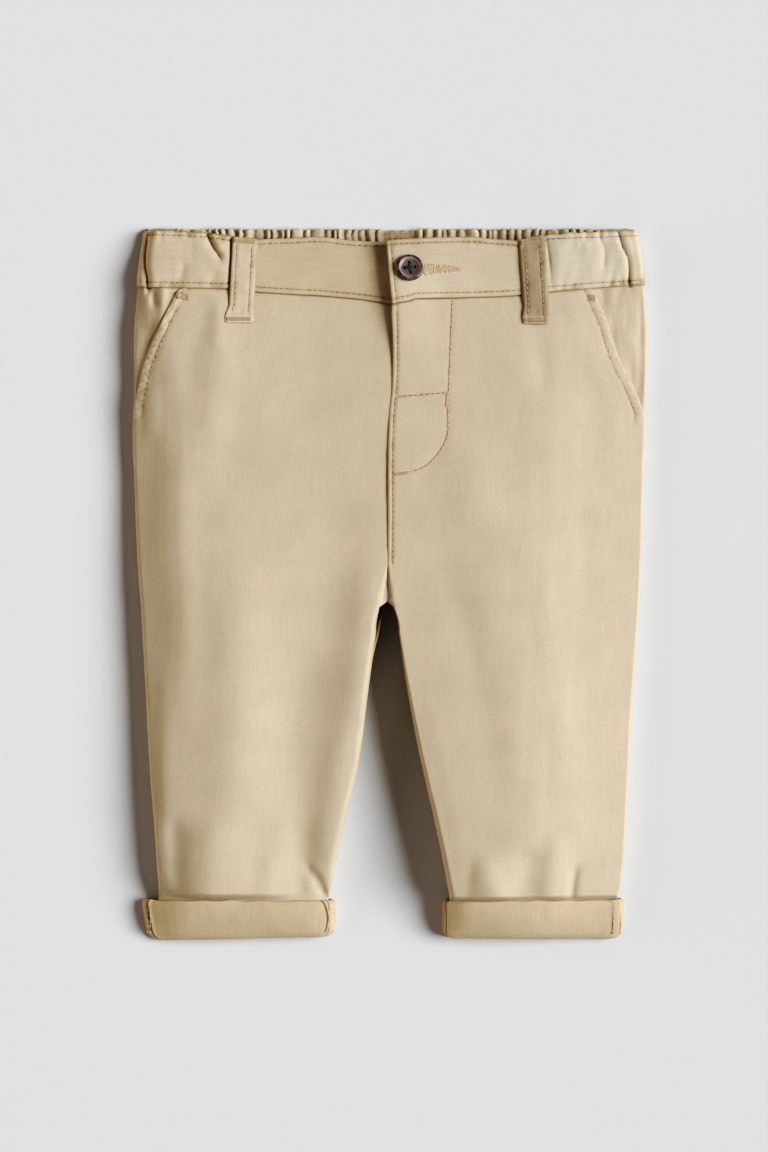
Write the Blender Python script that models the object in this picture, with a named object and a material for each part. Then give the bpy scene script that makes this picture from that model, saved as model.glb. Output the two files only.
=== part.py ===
"""Baby's chino trousers, laid flat face up with the leg ends turned up.

Two front panels and their hip pieces lie over two back panels, and the waistband joins them at the top:
two plain bands at the front, left over right with a button, and a gathered elastic band at the back.
Each piece of cloth is a closed wall between two surfaces, both worked out from the sections below.

Left and right are the wearer's: the right leg is at -X, the left at +X, and the waist at +Y. The garment
lies on z = 0. Sizes are in millimetres until MM turns them into Blender's metres. "Drop" is the distance
down from the top of the waist, and "across" runs from 0 at the side seam to 1 at the centre or inside leg.
"""

import math
from collections import namedtuple

import bmesh
import bpy
from mathutils import Matrix, Vector

MM = 0.001
QUARTER_TURN = math.pi / 2

# Overall size and cloth
LENGTH = 342.7          # top of the back band to the fold of the turn-ups
CLOTH = 1.2             # wall of a leg panel
SEAM_GAP = 0.3          # between two pieces at a seam
BAND_WALL = 2.0         # folded waistband with its interfacing
BAND_PROUD = 0.5        # how far the front band stands out over the panels
ELASTIC_WALL = 2.2      # back band with the elastic inside

# Fly: the left front laps over the right one
FLY_UNDERLAP = 8.0
FLY_END = 130.0         # drop at which the underlap starts to narrow
FLY_JOINED = 152.0      # drop at which the two fronts meet edge to edge
CROTCH_TOP = 166.0      # drop at which the lap has run out
CROTCH = 180.5          # drop of the crossing of the four seams
BAND_UNDERLAP = 12.0
BAND_END_TOP = -1.4     # x of the left band's end at the waist edge
BAND_END_SLANT = 2.8    # and how much further left its lower corner is
LAP_SPACING = 11.0      # the fronts' last columns are spread over this much more above the crotch
LAP_EASE = 40.0         # the lapped cloth settles onto the panel within this distance

# Pocket mouths
HIP_UNDERLAP = 12.0     # how far a hip piece runs on under the front panel
HIP_END = 100.0
HIP_SINK = 1.0          # the hip piece lies this far below the general surface
FRONT_RISE = 0.9        # and the mouth's folded edge this far above it

# Turn-ups
CUFF_HEIGHT = 20.6
CUFF_WALL = 2.4
CUFF_CHANNEL = 5.1      # inner side of the slot that the leg's end sits in
CUFF_RETURN = 6.3       # inner side of the cloth that runs back up inside the leg
CUFF_RETURN_HEIGHT = 7.0
CUFF_FALL = {"right": 4.8, "left": 3.6}     # the turn-up's top is this much lower at the side seam
LEG_END = LENGTH - CUFF_WALL - SEAM_GAP

# Gathers of the back band
GATHERS = 40
GATHER_DEPTH = 0.9
GATHER_SPAN = 108.0     # the gathers run this far to each side of the centre back
FLAT_CENTRE = 6.5       # and leave this half-width plain where the band is joined
POINTS_PER_GATHER = 4

# Belt loops
LOOP_WIDTH = 12.0
LOOP_WALL = 1.4
LOOP_CLEARANCE = 0.4
LOOP_ARCH = 0.9

# Button
BUTTON_X = 9.8
BUTTON_DROP = 19.6
BUTTON_RADIUS = 6.4
BUTTON_HOLE_RADIUS = 0.8
BUTTON_HOLE_SPACING = 3.3
BUTTON_TURN = math.radians(-20)
BUTTON_SEAT = 0.4       # clear of the band's gentle curve

# Shares of "across" that belong to the rounded edges
OUTER_SHARE = 0.2
INNER_SHARE = 0.2

# Finish: base colour (linear) and roughness of each kind of piece
TWILL = ((0.62, 0.51, 0.33), 0.85)
TWILL_SHADE = ((0.58, 0.47, 0.30), 0.85)
TWILL_REVERSE = ((0.55, 0.43, 0.27), 0.9)
HORN = ((0.06, 0.045, 0.04), 0.35)

# Sections down the garment. Outer and inner edges are x positions. Heights are those of the top on each side,
# of the outer and inner seams and of the underside. Each fall is how much lower the top is at the side seam
# than in the middle, and right_spread is how wide that fall is on the right.
Station = namedtuple(
    "Station",
    "drop right_out right_in left_in left_out right_crown left_crown seam_z seam_in under_z"
    " right_fall left_fall right_spread",
)
STATIONS = (
    #       drop, right out and in, left in and out, crowns, seam_z, seam_in, under_z, falls, right_spread
    Station(0.0, -117.4, -0.85, -0.55, 118.0, 13.0, 14.6, 4.6, 6.0, 0.0, 2.0, 3.6, 0.5),
    Station(12.0, -118.8, -0.85, -0.55, 119.9, 13.8, 16.0, 4.8, 6.0, 0.0, 3.0, 5.2, 0.5),
    Station(27.0, -120.6, -0.85, -0.55, 122.2, 14.8, 17.0, 5.0, 6.2, 0.0, 4.5, 6.6, 0.55),
    Station(39.0, -121.6, -0.85, -0.55, 123.1, 15.8, 17.7, 5.0, 6.5, 0.0, 6.0, 7.7, 0.65),
    Station(54.0, -122.8, -0.85, -0.55, 123.9, 16.8, 17.9, 5.0, 7.0, 0.0, 7.4, 8.2, 0.8),
    Station(70.0, -123.1, -0.85, -0.55, 123.4, 17.8, 18.3, 5.0, 7.4, 0.0, 8.6, 8.9, 0.9),
    Station(95.0, -123.5, -0.85, -0.55, 122.4, 18.9, 19.2, 5.2, 7.9, 0.0, 9.6, 9.9, 0.95),
    Station(112.0, -123.3, -0.85, -0.55, 121.8, 19.6, 19.8, 5.2, 8.2, 0.0, 10.0, 10.4, 1.0),
    Station(131.0, -122.4, -0.85, -0.55, 121.4, 20.2, 20.3, 5.4, 8.4, 0.0, 10.4, 10.9, 1.0),
    Station(160.0, -120.9, -0.85, -0.55, 121.0, 21.0, 21.0, 5.5, 8.6, 0.0, 10.6, 11.6, 1.0),
    Station(180.5, -119.2, -0.85, -0.55, 120.0, 21.5, 21.5, 5.6, 8.8, 0.0, 10.2, 12.0, 1.0),
    Station(182.0, -119.1, -4.3, 2.2, 119.9, 21.5, 21.6, 5.6, 8.9, 0.0, 10.2, 12.0, 1.0),
    Station(207.0, -117.8, -8.0, 6.8, 118.2, 20.9, 23.2, 5.8, 13.4, 0.0, 9.0, 12.4, 0.85),
    Station(233.0, -116.4, -11.5, 10.8, 116.3, 20.5, 24.2, 6.0, 13.8, 0.0, 7.8, 12.8, 0.7),
    Station(256.0, -115.2, -14.6, 15.4, 115.2, 20.3, 24.6, 6.0, 13.8, 0.0, 7.0, 13.2, 0.6),
    Station(275.0, -113.8, -19.2, 19.7, 114.2, 20.0, 24.4, 6.0, 13.6, 0.0, 6.2, 13.4, 0.5),
    Station(294.0, -112.3, -23.2, 24.0, 113.2, 19.4, 23.4, 5.9, 12.4, 0.0, 5.6, 12.6, 0.5),
    Station(309.0, -111.4, -26.6, 27.0, 112.2, 18.0, 20.0, 6.2, 10.0, 0.6, 5.2, 8.6, 0.7),
    Station(319.0, -110.7, -28.6, 28.4, 110.7, 15.8, 16.0, 6.7, 9.1, 2.6, 4.4, 4.4, 0.9),
    Station(323.0, -110.9, -29.2, 28.6, 109.8, 15.0, 15.0, 6.8, 9.1, 3.1, 4.2, 3.5, 0.95),
    Station(LEG_END, -113.1, -28.5, 27.8, 109.7, 15.1, 15.1, 6.9, 9.1, 3.1, 4.0, 3.3, 0.95),
)

# How far in the outer seam is rounded, and the inner edge of the front and of the back
ROUND_OUT = 3.8
ROUND_IN = {
    "front": ((0.0, 3.0), (180.5, 3.8), (207.0, 4.6), (300.0, 5.0), (319.0, 6.0)),
    "back": ((0.0, 3.0), (180.5, 4.5), (196.0, 8.5), (207.0, 10.0), (300.0, 10.0), (314.0, 6.4), (321.0, 6.0)),
}

# The top's fall towards a side seam, as (distance in from it, share of the fall left)
SIDE_FALL = {
    "right": (
        (0.0, 1.0), (5.0, 0.755), (10.0, 0.51), (12.5, 0.40), (18.0, 0.245), (24.0, 0.145), (30.0, 0.085),
        (36.0, 0.04), (47.0, 0.0),
    ),
    "left": (
        (0.0, 1.0), (10.0, 0.8), (20.0, 0.6), (30.0, 0.4), (40.0, 0.208), (50.0, 0.08), (60.0, 0.024),
        (75.0, 0.0),
    ),
}

# The top's fall towards the inner edge of each leg, by drop
INNER_FALL = {
    "right": ((182.0, 0.0), (298.0, 0.4), (312.0, 0.8), (319.0, 0.0)),
    "left": ((182.0, 0.0), (198.0, 0.3), (227.0, 1.1), (246.0, 2.0), (300.0, 2.4), (312.0, 1.2), (319.0, 0.0)),
}
INNER_FALL_REACH = 12.0

# The inner edges of the legs just above the crotch, between which the cloth sinks
CROTCH_SHOULDERS = {
    "right": ((152.0, -0.6), (163.0, -1.1), (169.5, -2.4), (182.0, -4.8)),
    "left": ((152.0, 1.2), (166.0, 0.2), (180.5, 1.9), (190.0, 3.4)),
}
CROTCH_SINK = 2.4
CROTCH_SINK_REACH = 4.5

# Turn-ups
CUFF_EDGES = {"right": (-116.2, -25.4), "left": (112.8, 24.7)}
CUFF_CROWN = 18.2
CUFF_SEAM_Z = 9.1
CUFF_ROUND_IN = 9.1

# Top edge of the front band and the seam below it, as drops
BandEdge = namedtuple("BandEdge", "x top seam")
BAND_EDGES = (
    #        x      top  seam
    BandEdge(-121.0, 2.6, 28.4),
    BandEdge(-116.0, 1.6, 29.3),
    BandEdge(-75.0, 4.6, 29.9),
    BandEdge(-63.0, 6.2, 31.6),
    BandEdge(-38.0, 4.8, 33.0),
    BandEdge(-26.0, 5.5, 34.0),
    BandEdge(-2.0, 7.2, 37.0),
    BandEdge(2.0, 6.7, 37.9),
    BandEdge(12.0, 6.2, 35.2),
    BandEdge(30.0, 5.5, 34.6),
    BandEdge(43.0, 5.3, 34.2),
    BandEdge(63.0, 7.4, 33.2),
    BandEdge(76.0, 4.0, 31.7),
    BandEdge(101.0, 2.9, 29.5),
    BandEdge(122.0, 1.9, 27.8),
)
WAIST_SEAM = 33.0       # nominal drop of the band's seam
SEAM_EASE = 30.0        # the panels' rows straighten out within this distance
BACK_TOP = 0.6
BACK_SEAM = 29.6

# Slanted pocket mouths: distance of the edge from the centre line
PocketMouth = namedtuple("PocketMouth", "drop right left")
POCKET_MOUTHS = (
    #           drop  right  left
    PocketMouth(29.8, 100.8, 98.0),
    PocketMouth(41.0, 106.7, 103.0),
    PocketMouth(50.0, 110.9, 106.4),
    PocketMouth(61.5, 116.1, 110.0),
    PocketMouth(73.0, 119.5, 115.7),
    PocketMouth(84.0, 121.9, 120.6),
    PocketMouth(94.0, 123.6, 124.6),
)
POCKET_END = 94.0

# Edge of the fly, and how far it stands up from the cloth under it beyond its own thickness
FLY_EDGE = ((38.0, 1.4), (62.0, 1.9), (82.0, 1.0), (107.0, -0.5), (131.0, -0.5), (164.0, -0.7))
LAP_LOFT = ((6.0, 2.0), (18.0, 2.6), (28.0, 1.8), (38.0, 0.8), (50.0, 0.2), (64.0, 0.0))
LAP_LOFT_REACH = 26.0

# Belt loops, from the waist edge to the lower bar tack; tilt is how far the outer edge is raised
BeltLoop = namedtuple("BeltLoop", "side top_x top_drop end_x end_drop top_skew tilt")
BELT_LOOPS = (
    #        side   top_x top_drop end_x end_drop top_skew tilt
    BeltLoop("right", -68.9, 5.2, -71.4, 46.2, 0.9, 0.0),
    BeltLoop("left", 68.4, 5.4, 70.6, 47.0, -2.4, 2.8),
)

# Large folds: a path of (x, drop) points, how far each reaches to the side, its height or depth, and how
# strong it still is at its two ends
Fold = namedtuple("Fold", "path reach height start end")
FOLDS = (
    # right leg: the long ridge, the trough inside it and the ridge along the inner edge
    Fold(((-79.2, 45.0), (-81.6, 56.6), (-82.6, 97.4), (-78.2, 114.2)), 9.0, 1.2, 1.0, 0.0),
    Fold(((-73.0, 118.0), (-72.5, 179.0), (-73.4, 227.0), (-76.8, 299.0), (-76.8, 322.0)), 17.0, 2.6, 0.0, 0.0),
    Fold(((-37.0, 40.0), (-37.5, 75.0), (-36.0, 110.0)), 22.0, -1.1, 0.8, 0.0),
    Fold(((-28.0, 112.0), (-27.8, 160.0), (-31.0, 183.0), (-36.0, 204.0)), 17.0, -1.9, 0.0, 0.3),
    Fold(((-29.0, 176.0), (-36.0, 204.0), (-42.2, 227.0), (-43.2, 255.8), (-40.8, 320.0)), 14.5, -2.6, 0.0, 0.0),
    Fold(((-11.0, 200.0), (-16.8, 227.0), (-23.5, 255.8), (-26.4, 275.0), (-30.6, 316.0)), 8.5, 1.7, 0.0, 0.0),
    Fold(((-88.0, 320.0), (-86.5, 300.0), (-84.0, 278.0)), 9.0, 1.5, 0.0, 0.0),
    # left leg
    Fold(((71.0, 112.0), (73.4, 159.8), (80.2, 217.4), (85.9, 275.0), (87.8, 296.0)), 9.0, 0.9, 0.0, 0.3),
    Fold(((18.7, 125.0), (29.3, 169.4), (44.6, 227.0), (50.4, 265.4), (52.0, 290.0)), 10.0, -0.8, 0.0, 0.0),
    Fold(((50.4, 321.0), (49.4, 310.0), (47.0, 298.0)), 6.0, 1.2, 0.0, 0.0),
    Fold(((61.9, 321.0), (64.8, 308.6), (67.7, 296.0)), 6.8, -1.4, 0.0, 0.0),
    Fold(((80.2, 321.0), (81.6, 311.0), (85.0, 287.0)), 6.0, 1.6, 0.0, 0.0),
    # hips
    Fold(((-104.0, 62.0), (-108.5, 80.0), (-111.5, 98.0), (-110.0, 120.0)), 6.0, -0.5, 0.0, 0.0),
    Fold(((69.6, 47.0), (72.5, 64.0), (74.0, 83.0)), 6.0, -0.7, 0.6, 0.0),
    # waistband
    Fold(((-115.6, 4.0), (-115.2, 30.0), (-118.0, 40.0)), 2.4, -1.6, 1.0, 0.0),
    Fold(((-86.4, 4.5), (-79.2, 17.5)), 2.8, -1.4, 1.0, 0.0),
    Fold(((109.0, 2.0), (112.0, 12.0), (115.0, 27.0)), 2.8, -1.6, 1.0, 1.0),
)
BACK_CROTCH_SHOW = 2.4  # the right back's crotch edge shows this far beyond the front


def smooth(value):
    """0 up to value 0, 1 from value 1 on, and an even curve between them."""
    value = min(max(value, 0.0), 1.0)
    return value * value * (3 - 2 * value)


class Curve:
    """A smooth curve through (position, value) pairs that never overshoots between them."""

    def __init__(self, pairs):
        self.places = [place for place, _ in pairs]
        self.values = [value for _, value in pairs]
        steps = [
            (self.values[i + 1] - self.values[i]) / (self.places[i + 1] - self.places[i])
            for i in range(len(pairs) - 1)
        ]
        inner = [
            2 * a * b / (a + b) if a * b > 0 else 0.0 for a, b in zip(steps, steps[1:])
        ]
        self.slopes = [steps[0]] + inner + [steps[-1]]

    def __call__(self, place):
        if place <= self.places[0]:
            return self.values[0]
        if place >= self.places[-1]:
            return self.values[-1]
        i = max(k for k, start in enumerate(self.places) if start <= place)
        width = self.places[i + 1] - self.places[i]
        t = (place - self.places[i]) / width
        from_left = self.values[i] + t * width * self.slopes[i]
        from_right = self.values[i + 1] - (1 - t) * width * self.slopes[i + 1]
        rise = self.values[i + 1] - self.values[i]
        bend = 2 * rise - width * (self.slopes[i] + self.slopes[i + 1])
        return from_left * (1 - t) + from_right * t + t * (1 - t) * (1 - 2 * t) * bend / 2


STATION = {
    name: Curve([(row.drop, getattr(row, name)) for row in STATIONS])
    for name in Station._fields[1:]
}
BAND_TOP = Curve([(row.x, row.top) for row in BAND_EDGES])
BAND_SEAM = Curve([(row.x, row.seam) for row in BAND_EDGES])
MOUTH = {
    side: Curve([(row.drop, getattr(row, side)) for row in POCKET_MOUTHS])
    for side in ("right", "left")
}
FLY = Curve(FLY_EDGE)
LOFT = Curve(LAP_LOFT)
INNER_ROUND = {face: Curve(pairs) for face, pairs in ROUND_IN.items()}
TOWARDS_SIDE = {side: Curve(pairs) for side, pairs in SIDE_FALL.items()}
TOWARDS_INNER = {side: Curve(pairs) for side, pairs in INNER_FALL.items()}
SHOULDER = {side: Curve(pairs) for side, pairs in CROTCH_SHOULDERS.items()}
OUTWARD = {"right": -1, "left": 1}

# One half of a section: its two edges, the heights of their seams and of its far side, its rounded edges, how
# far its inner edge is turned, and how the far side falls towards each edge
Section = namedtuple(
    "Section",
    "out inn seam_out seam_in far_z round_out round_in turned out_fall out_curve out_spread in_fall",
)


def place_on_path(x, drop, path):
    """Distance from a point to a path of straight lines, and how far along the path the nearest place is."""
    point = Vector((x, drop))
    best = math.inf
    nearest = 0.0
    for number, (start, end) in enumerate(zip(path, path[1:])):
        start = Vector(start)
        along = Vector(end) - start
        share = min(max((point - start).dot(along) / along.length_squared, 0.0), 1.0)
        distance = (point - start - along * share).length
        if distance < best:
            best = distance
            nearest = (number + share) / (len(path) - 1)
    return best, nearest


def fold_height(x, drop):
    """Height that the folds add to the upper surface."""
    total = 0.0
    for fold in FOLDS:
        distance, along = place_on_path(x, drop, fold.path)
        strength = fold.start + (1 - fold.start) * smooth(along / 0.35)
        strength *= fold.end + (1 - fold.end) * smooth((1 - along) / 0.35)
        total += fold.height * strength * math.exp(-((distance / fold.reach) ** 2))
    return total


def crotch_sink(side, x, drop):
    """How far the upper surface sinks between the legs' inner edges above the crotch."""
    beyond = (SHOULDER[side](drop) - x) * OUTWARD[side]
    deep = smooth((drop - FLY_JOINED - 6) / 22) * (1 - smooth((drop - CROTCH) / 6))
    return CROTCH_SINK * deep * smooth((beyond + 1) / CROTCH_SINK_REACH)


def body_section(side, face, drop):
    """The section of one front or back half at a drop."""
    inn = STATION[side + "_in"](drop)
    if face == "front":
        turned = smooth((drop - FLY_JOINED) / (CROTCH_TOP + 6 - FLY_JOINED))
        far_z = STATION[side + "_crown"](drop)
        apart = SEAM_GAP / 2
        out_fall = STATION[side + "_fall"](drop)
        in_fall = TOWARDS_INNER[side](drop)
    else:
        turned = smooth((drop - CROTCH_TOP) / (CROTCH - CROTCH_TOP))
        far_z = STATION["under_z"](drop)
        apart = -SEAM_GAP / 2
        out_fall = in_fall = 0.0
        if side == "right" and drop > CROTCH:
            inn += BACK_CROTCH_SHOW * (1 - smooth((drop - CROTCH) / 30))
    return Section(
        out=STATION[side + "_out"](drop),
        inn=inn,
        seam_out=STATION["seam_z"](drop) + apart,
        seam_in=STATION["seam_in"](drop) + apart,
        far_z=far_z,
        round_out=ROUND_OUT,
        round_in=INNER_ROUND[face](drop),
        turned=turned,
        out_fall=out_fall,
        out_curve=TOWARDS_SIDE[side],
        out_spread=STATION["right_spread"](drop) if side == "right" else 1.0,
        in_fall=in_fall,
    )


def cuff_section(side, face):
    """The section of one half of a turn-up, the same all along it."""
    out, inn = CUFF_EDGES[side]
    front = face == "front"
    return Section(
        out=out,
        inn=inn,
        seam_out=(CUFF_CROWN - CUFF_FALL[side]) / 2,
        seam_in=CUFF_SEAM_Z,
        far_z=CUFF_CROWN if front else 0.0,
        round_out=(CUFF_CROWN - CUFF_FALL[side]) / 2,
        round_in=CUFF_ROUND_IN,
        turned=1.0,
        out_fall=CUFF_FALL[side] if front else 0.0,
        out_curve=TOWARDS_SIDE[side],
        out_spread=1.0,
        in_fall=0.0,
    )


def section_place(section, across):
    """How far in from the outer edge a share of the section lies, and its rise from seam to far side."""
    width = abs(section.inn - section.out)
    if across < OUTER_SHARE:
        angle = across / OUTER_SHARE * QUARTER_TURN
        return section.round_out * (1 - math.cos(angle)), math.sin(angle)
    if across > 1 - INNER_SHARE:
        turn = (1 - across) / INNER_SHARE
        angle = max(turn, 0.0) * QUARTER_TURN
        eased = section.turned * (1 - math.cos(angle)) if turn > 0 else section.turned * turn
        rise = 1 - section.turned + section.turned * math.sin(angle)
        return width - section.round_in * (eased + (1 - section.turned) * turn), rise
    middle = (across - OUTER_SHARE) / (1 - OUTER_SHARE - INNER_SHARE)
    return section.round_out + (width - section.round_out - section.round_in) * middle, 1.0


def point_on(section, across, drop, shaped_side=None):
    """A point of the outer surface. A front's section is shaped by its side's folds and crotch."""
    place, rise = section_place(section, across)
    width = abs(section.inn - section.out)
    x = section.out + math.copysign(place, section.inn - section.out)
    share = min(max(place / width, 0.0), 1.0)
    seam_z = section.seam_out + (section.seam_in - section.seam_out) * share
    far_z = section.far_z - section.out_fall * section.out_curve(place / section.out_spread)
    far_z -= section.in_fall * (1 - smooth((width - place) / INNER_FALL_REACH))
    if shaped_side:
        far_z += fold_height(x, drop) - crotch_sink(shaped_side, x, drop)
    z = seam_z + (far_z - seam_z) * rise
    return Vector((x, LENGTH / 2 - drop, z))


def body_point(side, face, across, drop):
    return point_on(body_section(side, face, drop), across, drop, side if face == "front" else None)


def cuff_point(side, face, across, drop):
    return point_on(cuff_section(side, face), across, drop)


def surface_normal(surface, side, face, across, drop):
    """The outward direction of a surface, from two short steps on it."""
    step_across = 1e-3 if across < 0.5 else -1e-3
    step_drop = 0.2 if drop < LENGTH / 2 else -0.2
    here = surface(side, face, across, drop)
    over = (surface(side, face, across + step_across, drop) - here) * step_across
    down = (surface(side, face, across, drop + step_drop) - here) * step_drop
    normal = over.cross(down).normalized()
    turn = OUTWARD[side] * (1 if face == "front" else -1)
    return normal * turn


def across_at(side, face, x, drop):
    """The share across at which the surface has this x."""
    section = body_section(side, face, drop)
    wanted = (x - section.out) * math.copysign(1, section.inn - section.out)
    low = 0.0
    high = 3.0
    for _ in range(40):
        middle = (low + high) / 2
        if section_place(section, middle)[0] < wanted:
            low = middle
        else:
            high = middle
    return high


def wall_points(side, face, x, drop, lift, wall):
    """The outer and inner points of a wall over (x, drop), its outer side moved out by lift."""
    across = across_at(side, face, x, drop)
    base = body_point(side, face, across, drop)
    normal = surface_normal(body_point, side, face, across, drop)
    return base + normal * lift, base + normal * (lift - wall)


def make_material(name, finish):
    """A plain Principled material of the given base colour and roughness."""
    colour, roughness = finish
    material = bpy.data.materials.new(name)
    material.use_nodes = True
    shader = material.node_tree.nodes["Principled BSDF"]
    shader.inputs["Base Color"].default_value = (*colour, 1)
    shader.inputs["Roughness"].default_value = roughness
    shader.inputs["Metallic"].default_value = 0
    return material


def add_object(name, bm, finish):
    """Turns millimetres into metres and puts the mesh in the scene as one smooth object."""
    bmesh.ops.recalc_face_normals(bm, faces=bm.faces)
    if bm.calc_volume(signed=True) < 0:
        bmesh.ops.reverse_faces(bm, faces=bm.faces)
    bmesh.ops.scale(bm, vec=(MM, MM, MM), verts=bm.verts)
    mesh = bpy.data.meshes.new(name)
    bm.to_mesh(mesh)
    bm.free()
    mesh.shade_smooth()
    mesh.set_sharp_from_angle(angle=math.radians(50))
    mesh.materials.append(make_material(name, finish))
    result = bpy.data.objects.new(name, mesh)
    bpy.context.scene.collection.objects.link(result)
    return result


def add_wall(name, rows, finish):
    """A closed wall of cloth from a grid of (outer, inner) point pairs, with a rim along its four edges."""
    bm = bmesh.new()
    grid = [[[bm.verts.new(point) for point in pair] for pair in row] for row in rows]
    for row, below in zip(grid, grid[1:]):
        for layer in (0, 1):
            for k in range(len(row) - 1):
                bm.faces.new(
                    (row[k][layer], row[k + 1][layer], below[k + 1][layer], below[k][layer])
                )
        for k in (0, -1):
            bm.faces.new((row[k][0], below[k][0], below[k][1], row[k][1]))
    for row in (grid[0], grid[-1]):
        for pair, beside in zip(row, row[1:]):
            bm.faces.new((pair[0], beside[0], beside[1], pair[1]))
    return add_object(name, bm, finish)


def steps(start, end, count):
    """Evenly spaced values from start to end, without the end."""
    return [start + (end - start) * k / count for k in range(count)]


def edge_spaced(start, end, round_start, round_end, between=8):
    """Positions from start to end, close together in the rounded stretches at both ends."""
    inward = math.copysign(1, end - start)
    angles = [QUARTER_TURN * k / 4 for k in range(4)]
    first = [start + inward * round_start * (1 - math.cos(angle)) for angle in angles]
    last = [end - inward * round_end * (1 - math.cos(angle)) for angle in reversed(angles)]
    middle = steps(start + inward * round_start, end - inward * round_end, between)
    return first + middle + [end - inward * round_end] + last


def panel_rows():
    """Nominal drops of the panels' rows, closer at the crotch and where the leg enters its turn-up."""
    return (
        steps(WAIST_SEAM, POCKET_END, 7)
        + steps(POCKET_END, FLY_JOINED, 5)
        + steps(FLY_JOINED, CROTCH, 4)
        + [CROTCH, 182.0, 188.0]
        + steps(196.0, 300.0, 8)
        + steps(300.0, LENGTH - CUFF_HEIGHT, 4)
        + steps(LENGTH - CUFF_HEIGHT, LEG_END, 2)
        + [LEG_END]
    )


def row_drop(nominal, x, seam):
    """A row's drop at x: the first rows follow the curve of the waist seam."""
    ease = 1 - smooth((nominal - WAIST_SEAM) / SEAM_EASE)
    return nominal + (seam(x) + SEAM_GAP / 2 - WAIST_SEAM) * ease


def mouth_x(side, drop):
    """Outer edge of a front panel: the pocket mouth, then the side seam."""
    out = STATION[side + "_out"](drop)
    if drop > POCKET_END:
        return out
    return OUTWARD[side] * min(abs(out), MOUTH[side](drop))


def fly_x(side, drop):
    """Inner edge of a front panel above the crotch."""
    lapped = 1 - smooth((drop - FLY_JOINED) / (CROTCH_TOP - FLY_JOINED))
    seam = STATION[side + "_in"](drop)
    if side == "left":
        return seam + (FLY(drop) - seam) * lapped
    under = FLY_UNDERLAP * (1 - smooth((drop - FLY_END) / (FLY_JOINED - FLY_END)))
    return seam + (FLY(drop) - SEAM_GAP + under - seam) * lapped


def lap_loft(x, drop):
    """How far the lapped edge stands up from the cloth under it, beyond its own thickness."""
    return LOFT(drop) * (1 - smooth((x - FLY(drop) - 1) / LAP_LOFT_REACH))


def front_lift(side, x, drop):
    """How far a front panel is raised where it lies on the hip piece or on the fly's underlap."""
    into_panel = abs(x - mouth_x(side, drop))
    over_hip = 1 - smooth((into_panel - HIP_UNDERLAP - 1) / 10)
    over_hip *= 1 - smooth((drop - HIP_END - 1) / 18)
    lift = FRONT_RISE * over_hip
    if side == "left":
        over_fly = 1 - smooth((x - FLY(drop) - FLY_UNDERLAP - 2) / LAP_EASE)
        over_fly *= 1 - smooth((drop - FLY_JOINED) / (CROTCH_TOP - FLY_JOINED))
        lift += (CLOTH + SEAM_GAP) * over_fly + lap_loft(x, drop)
    return lift


def add_front(side):
    rows = []
    for nominal in panel_rows():
        start = mouth_x(side, nominal)
        for _ in range(4):
            start = mouth_x(side, row_drop(nominal, start, BAND_SEAM))
        end = fly_x(side, nominal)
        section = body_section(side, "front", nominal)
        row = []
        round_end = section.round_in + LAP_SPACING * (1 - section.turned)
        for x in edge_spaced(start, end, section.round_out, round_end, 15):
            drop = row_drop(nominal, x, BAND_SEAM)
            row.append(wall_points(side, "front", x, drop, front_lift(side, x, drop), CLOTH))
        rows.append(row)
    add_wall("front_" + side, rows, TWILL)


def add_hip(side):
    """The pocket's hip piece, from the side seam to a little way under the front panel."""
    rows = []
    inward = -OUTWARD[side]
    for nominal in steps(WAIST_SEAM, HIP_END, 10) + [HIP_END]:
        edge = mouth_x(side, nominal)
        out = STATION[side + "_out"](nominal)
        end = edge + inward * HIP_UNDERLAP
        row = []
        for share in steps(0.0, 1.0, 9) + [1.0]:
            x = out + (end - out) * share * share
            drop = row_drop(nominal, x, BAND_SEAM)
            sink = HIP_SINK * smooth(((x - edge) * inward + 9) / 8)
            row.append(wall_points(side, "front", x, drop, -sink, CLOTH))
        rows.append(row)
    add_wall("hip_" + side, rows, TWILL_SHADE)


def add_back(side):
    rows = []
    for nominal in panel_rows():
        section = body_section(side, "back", nominal)
        row = []
        for x in edge_spaced(section.out, section.inn, section.round_out, section.round_in):
            drop = row_drop(nominal, x, lambda _: BACK_SEAM)
            row.append(wall_points(side, "back", x, drop, 0.0, CLOTH))
        rows.append(row)
    add_wall("back_" + side, rows, TWILL_SHADE)


def band_lift(side, x, drop):
    """How far the left band is raised over the end of the right one."""
    if side == "right":
        return BAND_PROUD
    over = 1 - smooth((x - FLY(0) - BAND_UNDERLAP - 2) / LAP_EASE)
    return BAND_PROUD + (BAND_WALL + SEAM_GAP) * over + lap_loft(x, drop)


def add_front_band(side):
    """Front waistband from the side seam to the centre; the right one runs on under the left one."""
    rows = []
    for down in steps(0.0, 1.0, 4) + [1.0]:
        end = BAND_END_TOP + BAND_END_SLANT * down if side == "left" else FLY(0) + BAND_UNDERLAP
        out = STATION[side + "_out"](BAND_TOP(0) + down * (BAND_SEAM(0) - BAND_TOP(0)))
        row = []
        for x in edge_spaced(out, out + math.copysign(14, end - out), 9.0, 0.5)[:-5]:
            row.append(x)
        row += steps(row[-1], end, 30)[1:] + [end]
        points = []
        for x in row:
            top = BAND_TOP(x)
            drop = top + down * (BAND_SEAM(x) - SEAM_GAP / 2 - top)
            points.append(wall_points(side, "front", x, drop, band_lift(side, x, drop), BAND_WALL))
        rows.append(points)
    add_wall("waistband_front_" + side, rows, TWILL)


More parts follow.
